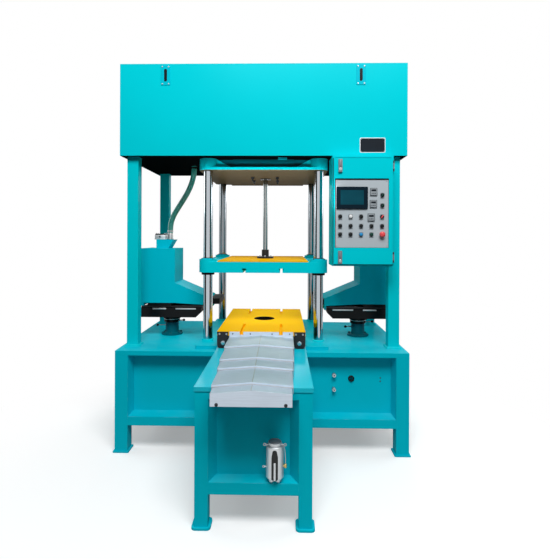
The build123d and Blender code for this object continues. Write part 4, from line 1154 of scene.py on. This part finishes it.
def dress_fittings():
    bodies, grips, bores, grommet = blanks(4)
    panel_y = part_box("panel_fittings")[1].y
    for x, z in COUPLING_SEATS:
        seat = facing((x, panel_y, z), FORWARD)
        spun(bodies, seat, drum(15, 7, 1.5), 6)
        spun(bodies, seat, COUPLING_CORE)
        spun(grips, seat, COUPLING_GRIP)
        # Painted shade: a dark disc on each coupling's end stands for its open bore.
        spun(bores, moved(seat, 0, 0, 33), drum(5.5, 1.2, 0.4))
    x, z = GROMMET_SEAT
    spun(grommet, facing((x, panel_y, z), FORWARD), GROMMET_RING, 48)
    piece("coupling_bodies", bodies, "chrome")
    piece("coupling_grips", grips, "zinc", stands_for=("panel_fittings",))
    piece("coupling_bore_shades", bores, "plate_dark")
    piece("cable_grommet", grommet, "black_rubber")
    plugs = [Vector((x, panel_y, z)) for x, z in PLUG_SCREW_SEATS]
    fasten("panel_plug_screws", PAN_SCREW, plugs, FORWARD, "black_steel")


dress_fittings()


# Air filter on the table's front; shares are of its radius and its height

filter_low, filter_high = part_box("air_filter")
FILTER_DROP, FILTER_RISE = 5 * MM, 12 * MM
GUARD_TOP_SHARE, GUARD_LOW_SHARE, GUARD_EDGE = 0.89, 0.125, 4 * MM
NECK_R_SHARE, NECK_TOP_SHARE = 0.77, 0.955
DOME_SHARES = ((0, 0.94), (0.7, 0.94), (0.7, 0.963), (0.64, 0.977), (0.5, 0.988), (0.25, 0.998), (0, 1))
WINDOW_SHARES = ((0.135, 0.12), (0.15, 0.185), (0.58, 0.187), (0.64, 0.186), (0.688, 0.178), (0.741, 0.15),
                 (0.795, 0.13), (0.82, 0.1), (0.834, 0.04))
WINDOW_DEPTHS, WINDOW_STEPS, WINDOW_BAR_SHARES = (0.5 * MM, -1 * MM), 8, (0.13, 0.545)
LOBE_X_SHARE, LOBE_R_SHARES, LOBE_LAP = 0.37, (0.26, 0.36), 4 * MM
BRACKET_HALF, BRACKET_ZS = 30 * MM, (160 * MM, 182 * MM)
EYE_SHARE, TAP_SHARE, DRAIN_SHARE = 0.895, 0.4, 0.38
TUBE_BENDS = mm((9, 0, 10), (9, 0, 36), (6, 0, 80), (1, 0, 102), (-12, 0, 108))
TUBE_R, EYE_OUT, EYE_STEM, EYE_FORWARD, TAP_FORWARD = 1.8 * MM, 7 * MM, 24 * MM, 6 * MM, 8 * MM
BAR_HALF, BAR_OUT, BAR_IN = 5 * MM, 1.6 * MM, 2 * MM


def filter_window(middle, radius, tall):
    """The dark sight window: a thin curved plate that narrows to its top."""
    window, rows = bmesh.new(), []
    for up, half_share in WINDOW_SHARES:
        reach = 2 * half_share
        turns = [reach * (i / WINDOW_STEPS - 0.5) * 2 for i in range(WINDOW_STEPS + 1)]
        axis_place = middle + UP * (up * tall)
        outer, inner = [[axis_place + Vector((sin(a), -cos(a), 0)) * (radius + depth) for a in turns]
                        for depth in WINDOW_DEPTHS]
        rows.append([window.verts.new(place) for place in outer + inner[::-1]])
    bridge(window, rows)
    for row in (rows[0], rows[-1]):
        window.faces.new(row)
    return window


def dress_filter():
    radius = (filter_high.x - filter_low.x) / 2
    tall = filter_high.z - filter_low.z + FILTER_DROP + FILTER_RISE
    middle = Vector(((filter_low.x + filter_high.x) / 2, filter_low.y + radius, filter_low.z - FILTER_DROP))
    guard, dome, bar, rings, brass, tube = blanks(6)
    low, top, rim = GUARD_LOW_SHARE * tall, GUARD_TOP_SHARE * tall, radius - GUARD_EDGE
    neck_r, neck_top = NECK_R_SHARE * radius, NECK_TOP_SHARE * tall
    turned(guard, middle, UP, [
        (0, low), (rim, low), (radius, low + GUARD_EDGE), (radius, top - GUARD_EDGE), (rim, top),
        (neck_r, top), (neck_r, neck_top), (0, neck_top),
    ], 64)
    tip_r, lobe_r = (share * radius for share in LOBE_R_SHARES)
    lobe_top = low + LOBE_LAP
    for side in SIDES:
        lobe = [(0, 0), (tip_r, 1 * MM), (lobe_r, 8 * MM), (lobe_r, lobe_top), (0, lobe_top)]
        turned(guard, middle + RIGHT * (side * LOBE_X_SHARE * radius), UP, lobe)
    slab(guard, (middle.x - BRACKET_HALF, middle.y, middle.z + BRACKET_ZS[0]),
         (middle.x + BRACKET_HALF, filter_high.y, middle.z + BRACKET_ZS[1]), 2)
    turned(dome, middle, UP, [(share * radius, up * tall) for share, up in DOME_SHARES], 48)
    bar_low, bar_high = (middle.z + share * tall for share in WINDOW_BAR_SHARES)
    slab(bar, (middle.x - BAR_HALF, filter_low.y - BAR_OUT, bar_low),
         (middle.x + BAR_HALF, filter_low.y + BAR_IN, bar_high), 1.2)

    for side in SIDES:
        eye = middle + Vector((side * (radius + EYE_OUT), -EYE_FORWARD, EYE_SHARE * tall))
        hoop(rings, eye, FORWARD, 6, 2)
        turned(rings, eye - RIGHT * (side * EYE_STEM), RIGHT * side, drum(3, 18, 0.6))
    tap = middle + Vector((radius, -TAP_FORWARD, TAP_SHARE * tall))
    turned(brass, tap + LEFT * 4 * MM, RIGHT, drum(4, 16, 0.8))
    turned(brass, tap + RIGHT * 9 * MM + DOWN * 9 * MM, UP, drum(7, 20, 1.5), 6)
    swept(tube, [tap + Vector(bend) for bend in TUBE_BENDS], TUBE_R, sides=12)
    drain = middle + Vector((-radius, -TAP_FORWARD, DRAIN_SHARE * tall))
    turned(rings, drain + RIGHT * 4 * MM, LEFT, drum(3.4, 14, 0.8))
    hoop(rings, drain + LEFT * 12 * MM, FORWARD, 5, 1.6)
    piece("filter_guard", guard, "aluminium", stands_for=("air_filter",))
    piece("filter_dome", dome, "dome_grey")
    piece("filter_window", filter_window(middle, radius, tall), "sight_dark")
    piece("filter_window_bar", bar, "aluminium")
    piece("filter_eyes", rings, "zinc")
    piece("filter_tap", brass, "brass")
    piece("filter_tube", tube, "zinc")


dress_filter()


# Side heads: valve with spigot and port, side cover

VALVE_H, VALVE_BLOCK_HALF, VALVE_SCREW_X, VALVE_SCREW_Y = 48, 44, 33, 27
SPIGOT_R, LINK_UP, PORT_UP = 27, 26, 24
COVER_PLATE_T, COVER_PLATE_LOW, COVER_PLATE_TOP = 21 * MM, 24 * MM, 70 * MM
COVER_BOLT_LOW, COVER_BOLT_TOP, COVER_BOLT_INSET = 80 * MM, 100 * MM, 30 * MM


def dress_valve(word, side):
    """Valve block and cap at the outer end of the CAD valve's box, spigot at its inner end."""
    body = f"{word}_head"
    low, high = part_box(f"{word}_head_valve")
    outer, inner = (high.x, low.x) if side > 0 else (low.x, high.x)
    mid_y, half = (low.y + high.y) / 2, VALVE_BLOCK_HALF * MM
    block_x, spigot_x = outer - side * half, inner + side * SPIGOT_R * MM
    block, cap, chrome, plug = blanks(4)

    def layer(form, grow, bottom, top, edge):
        out = grow * MM
        slab(form, (block_x - half - out, low.y - out, low.z + bottom * MM),
             (block_x + half + out, high.y + out, low.z + top * MM), edge)

    layer(block, 0, 6, VALVE_H - 10, 2)
    layer(block, 2, 0, 7, 1.5)
    layer(cap, -3, VALVE_H - 10, VALVE_H, 2.5)
    r, top = SPIGOT_R, (high.z - low.z) / MM
    spigot = mm((0, 0), (r - 2, 0), (r, 2), (r, 8), (r - 5, 9), (r - 5, top - 3), (r - 6, top), (0, top))
    turned(chrome, (spigot_x, mid_y, low.z), UP, spigot, 48)
    link = Vector((block_x - side * half, mid_y, low.z + LINK_UP * MM))
    turned(chrome, link, LEFT * side, drum(5, abs(spigot_x - link.x) / MM, 0.8))
    turned(chrome, link, LEFT * side, drum(9, 8, 1), 6)
    port = Vector((block_x, low.y - 2 * MM, low.z + PORT_UP * MM))
    turned(chrome, port, FORWARD, drum(8, 7, 1), 6)
    turned(plug, port + FORWARD * 7 * MM, FORWARD, drum(6, 9, 1.5))
    piece(f"{body}_valve_block", block, "aluminium", body, (f"{word}_head_valve",))
    piece(f"{body}_valve_cap", cap, "black_paint", body)
    piece(f"{body}_spigot", chrome, "zinc", body)
    piece(f"{body}_port_plug", plug, "control_black", body)
    seat = Matrix.Translation((block_x, mid_y, low.z + VALVE_H * MM))
    screws = corners_on(seat, VALVE_SCREW_X, VALVE_SCREW_Y)
    fasten(f"{body}_valve_screws", SMALL_CAP_SCREW, screws, UP, "zinc", body)


def dress_side_cover(word, side):
    body = f"{word}_head"
    low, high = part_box(f"{word}_head_housing")
    wall = (low.x if side < 0 else high.x) + side * COVER_PLATE_T
    inner, outer = sorted((wall, wall - side * COVER_PLATE_T))
    cover = bmesh.new()
    slab(cover, (inner, low.y, low.z + COVER_PLATE_LOW), (outer, high.y, high.z - COVER_PLATE_TOP), 2)
    piece(f"{body}_side_cover", cover, "teal_paint", body)
    start, end = (wall, low.y + COVER_BOLT_INSET), (wall, high.y - COVER_BOLT_INSET)
    bolts = rows_of(start, end, (low.z + COVER_BOLT_LOW, high.z - COVER_BOLT_TOP), 4)
    fasten(f"{body}_side_screws", HEX_BOLT, bolts, RIGHT * side, "zinc", body)


for head_word, head_side in (("left", -1), ("right", 1)):
    dress_valve(head_word, head_side)
    dress_side_cover(head_word, head_side)


# Pedestals under the heads, and their slides

PEDESTAL_XS, HEAD_MID = (-0.7646, 0.7646), 0.5
STAND = mm((0, 0), (84, 0), (86, 2), (86, 12), (84, 14), (64, 14), (56, 20), (53, 30), (53, 96), (50, 104),
           (0, 104))
SWIVEL = mm((0, 0), (60, 0), (63, 3), (63, 20), (60, 22), (60, 28), (70, 30), (74, 34), (74, 54), (72, 56),
            (0, 56))
SWIVEL_UP, BAND_UP, STAND_FLANGE_T = 102 * MM, 127 * MM, 14 * MM
KNOB = mm((0, -8), (6, -7), (10, -1), (10, 5), (6, 11), (0, 12))
LEVER_ROOTS = {-1: Vector((-44, -18, 76)) * MM, 1: Vector((44, -18, 112)) * MM}
LEVER_RUNS = {-1: Vector((-62, -30, 4)) * MM, 1: Vector((62, -30, 10)) * MM}
LEVER_R, STAND_BOLT_R = 4.5 * MM, 74 * MM
SLIDE_STRIPS = ((-0.889, -0.782), (-0.706, -0.543))
STRIP_OUT, STRIP_IN, STRIP_LOW, STRIP_TOP = 2 * MM, 4 * MM, 12 * MM, 1 * MM
STOP_DROP, STOP_INSET = 22 * MM, 40 * MM


def dress_pedestals():
    stands, swivels, levers, knobs, bands = blanks(5)
    bolts = []
    for x in PEDESTAL_XS:
        foot = Vector((x, HEAD_MID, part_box("head_pedestals")[0].z))
        turned(stands, foot, UP, STAND, 56)
        turned(swivels, foot + UP * SWIVEL_UP, UP, SWIVEL, 56)
        hoop(bands, foot + UP * BAND_UP, UP, 61, 3.4, 56)
        bolts += circle_of(foot + UP * STAND_FLANGE_T, STAND_BOLT_R, 6, pi / 6)
        for side in SIDES:
            root = foot + LEVER_ROOTS[side]
            tip = root + LEVER_RUNS[side]
            swept(levers, [root, root.lerp(tip, 0.5), tip], LEVER_R, sides=14)
            turned(knobs, tip, tip - root, KNOB, 24)
    # The stands and their bolts are in painted shade teal, for the shade they stand in.
    piece("pedestal_stands", stands, "painted_shade_teal", stands_for=("head_pedestals",))
    piece("pedestal_swivels", swivels, "black_paint")
    piece("pedestal_clamp_bands", bands, "zinc")
    piece("pedestal_levers", levers, "zinc")
    piece("pedestal_knobs", knobs, "control_black")
    fasten("pedestal_bolts", HEX_BOLT, bolts, UP, "painted_shade_teal")


def dress_slides():
    """Bright zinc strips along the front top edge of each slide, painting the rails' highlights, and end
    stop screws.
    """
    low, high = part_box("head_slides")
    strips = bmesh.new()
    for side in SIDES:
        for start, end in SLIDE_STRIPS:
            inner, outer = sorted((-side * start, -side * end))
            slab(strips, (inner, low.y - STRIP_OUT, high.z - STRIP_LOW),
                 (outer, low.y + STRIP_IN, high.z - STRIP_TOP), 1)
    piece("slide_highlight_strips", strips, "zinc")
    for side, word in ((-1, "left"), (1, "right")):
        ys = low.y + STOP_INSET, high.y - STOP_INSET
        stops = [Vector((side * high.x, y, high.z - STOP_DROP)) for y in ys]
        fasten(f"{word}_slide_stops", HEX_BOLT, stops, RIGHT * side, "black_steel")


dress_pedestals()
dress_slides()


# Sand hose, on the same route as the part's

HOSE_D, HOSE_WALL, HOSE_Y = 44 * MM, 4 * MM, 0.5
HOSE_ROUTE = (
    (-0.7830, 1.5453), (-0.7830, 1.5986), (-0.7710, 1.6541), (-0.7460, 1.7086), (-0.7120, 1.7624),
    (-0.6760, 1.8185), (-0.6421, 1.8762), (-0.6150, 1.9339), (-0.5970, 1.9900), (-0.5870, 2.0439),
    (-0.5870, 2.0950),
)
CLAMP_FROM_END, CLAMP_W, CLAMP_T, CLAMP_SCREW_OUT = 8 * MM, 13 * MM, 1.6 * MM, 4 * MM
CLAMP_SCREW_L = 18


def smooth_line(name, route):
    """Points along a smooth spline that has the route as its control points."""
    curve = bpy.data.curves.new(name, "CURVE")
    curve.dimensions = "3D"
    curve.resolution_u = 10
    spline = curve.splines.new("NURBS")
    spline.points.add(len(route) - 1)
    for point, place in zip(spline.points, route):
        point.co = (*place, 1)
    spline.order_u = 3
    spline.use_endpoint_u = True
    carrier = bpy.data.objects.new(name, curve)
    scene.collection.objects.link(carrier)
    now = bpy.context.evaluated_depsgraph_get()
    mesh = bpy.data.meshes.new_from_object(carrier.evaluated_get(now), depsgraph=now)
    line = [v.co.copy() for v in mesh.vertices]
    bpy.data.objects.remove(carrier)
    bpy.data.meshes.remove(mesh)
    return line


def hose_clamp(end, inward):
    """A band around an end of the hose, with its screw at the front."""
    form, r = bmesh.new(), HOSE_D / 2
    band = [(r, 0), (r + CLAMP_T, 0), (r + CLAMP_T, CLAMP_W), (r, CLAMP_W), (r, 0)]
    turned(form, end + inward * CLAMP_FROM_END, inward, band, 40)
    screw = end + inward * (CLAMP_FROM_END + CLAMP_W / 2) + FORWARD * (r + CLAMP_SCREW_OUT)
    turned(form, screw + LEFT * (CLAMP_SCREW_L / 2 * MM), RIGHT, drum(5, CLAMP_SCREW_L, 1), 20)
    return form


def dress_hose():
    line = smooth_line("hose_route", [(x, HOSE_Y, z) for x, z in HOSE_ROUTE])
    tube = bmesh.new()
    swept(tube, line, HOSE_D / 2, HOSE_WALL, 32)
    hose = piece("clear_sand_hose", tube, "hose_green", None, ("sand_hose",))
    piece("hose_clamp_low", hose_clamp(line[0], UP), "zinc", "left_head")
    piece("hose_clamp_high", hose_clamp(line[-1], DOWN), "black_paint", "frame")
    return hose, line, sum((b - a).length for a, b in zip(line, line[1:]))


hose, hose_line, hose_length = dress_hose()
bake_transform(hose)


# Studio: pale floor, soft front light from above, white surround

FLOOR_HALF, FLOOR_FADE, FLOOR_LIFT = 40.0, (1.4, 2.4), 0.32
FLOOR_UNSEEN, FLOOR_SEEN = (0.4, 0.4, 0.4), (0.86, 0.86, 0.86)
FLAG_X, FLAG_YS, FLAG_H = 2.6, (-2.6, -0.2), 3.2
WORLD_FILL = 0.17
PLATEN_LAMP_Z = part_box("moving_platen")[0].z - 6 * MM
LAMPS = (  # name, place, aim, size, power
    ("key", (0.5, -3.2, 4.9), (0, 0, 1.4), (3.0, 1.8), 212),
    ("back", (0.6, 4.6, 2.9), (0, 0.4, 0.9), (4.0, 1.6), 80),
    ("left_side", (-3.7, 0.9, 2.6), (0, 0.6, 0.9), (2.0, 1.6), 26),
    ("right_side", (3.7, 0.9, 2.6), (0, 0.6, 0.9), (2.0, 1.6), 30),
)
HIDDEN_LAMPS = (  # and spread
    ("mould_space", (0, 0.6, PLATEN_LAMP_Z), (0, 0.6, 0), (0.6, 0.8), 1.9, pi),
    ("top_platen_front", (0, -0.4, 1.72), (0, 0.6, 1.98), (0.9, 0.1), 2.0, radians(50)),
)


def seen_rays(tree):
    """1 for rays from the eye, from mirrors and through glass, else 0."""
    seen = tree.add("ShaderNodeLightPath", out="Is Camera Ray")
    for ray in ("Is Glossy Ray", "Is Transmission Ray"):
        seen = seen.math("MAXIMUM", seen, tree.add("ShaderNodeLightPath", out=ray))
    return seen


def floor_card():
    """White card that keeps the machine's shadow near it and runs out to plain white."""
    f = Finish("floor_card")
    seen = seen_rays(f)
    card = f.add("ShaderNodeBsdfDiffuse", values={"Color": f.mix(seen, FLOOR_UNSEEN, FLOOR_SEEN)})
    glow = f.add("ShaderNodeEmission", values={"Strength": seen * FLOOR_LIFT})
    shadowed = f.add("ShaderNodeAddShader", values={0: card, 1: glow})
    plain = f.add("ShaderNodeEmission", values={"Strength": seen})
    reach = f.add("ShaderNodeVectorMath", {"operation": "LENGTH"}, {0: f.place}, out="Value")
    both = f.add("ShaderNodeMixShader", values={0: reach.between(*FLOOR_FADE), 1: shadowed, 2: plain})
    f.add("ShaderNodeOutputMaterial", values={"Surface": both})
    return f.material


def card_piece(name, corners, material):
    mesh = bpy.data.meshes.new(name)
    mesh.from_pydata(corners, [], [(0, 1, 2, 3)])
    mesh.materials.append(material)
    made = bpy.data.objects.new(name, mesh)
    scene.collection.objects.link(made)
    return made


def area_light(name, place, aim, size, power):
    data = bpy.data.lights.new(name, "AREA")
    data.shape, data.size, data.size_y, data.energy = "RECTANGLE", *size, power
    lamp = bpy.data.objects.new(name, data)
    turn = (Vector(aim) - Vector(place)).to_track_quat("-Z", "Y")
    lamp.matrix_world = Matrix.Translation(place) @ turn.to_matrix().to_4x4()
    scene.collection.objects.link(lamp)
    return lamp


def white_surround():
    """White to the eye and in reflections, a low fill on the machine."""
    world = bpy.data.worlds.new("surround")
    world.use_nodes = True
    world.node_tree.nodes.clear()
    sky = Tree(world.node_tree)
    strength = WORLD_FILL + seen_rays(sky) * (1 - WORLD_FILL)
    back = sky.add("ShaderNodeBackground", values={"Color": (1, 1, 1, 1), "Strength": strength})
    sky.add("ShaderNodeOutputWorld", values={"Surface": back})
    return world


def build_studio():
    half = FLOOR_HALF
    corners = [(-half, -half, 0), (half, -half, 0), (half, half, 0), (-half, half, 0)]
    card_piece("studio_floor", corners, floor_card())
    dark = moulded("flag_cloth", (0.02, 0.02, 0.02), rough=0.9)
    front, rear = FLAG_YS
    for side, word in ((-1, "left"), (1, "right")):
        x = side * FLAG_X
        corners = [(x, front, 0), (x, rear, 0), (x, rear, FLAG_H), (x, front, FLAG_H)]
        flag = card_piece(f"{word}_flag", corners, dark)
        flag.visible_camera = flag.visible_shadow = flag.visible_diffuse = False
    for lamp in LAMPS:
        area_light(*lamp)
    for *lamp, spread in HIDDEN_LAMPS:
        made = area_light(*lamp)
        made.data.spread = spread
        made.visible_camera = made.visible_glossy = False
    scene.world = white_surround()
    scene.view_settings.view_transform = "Standard"


build_studio()
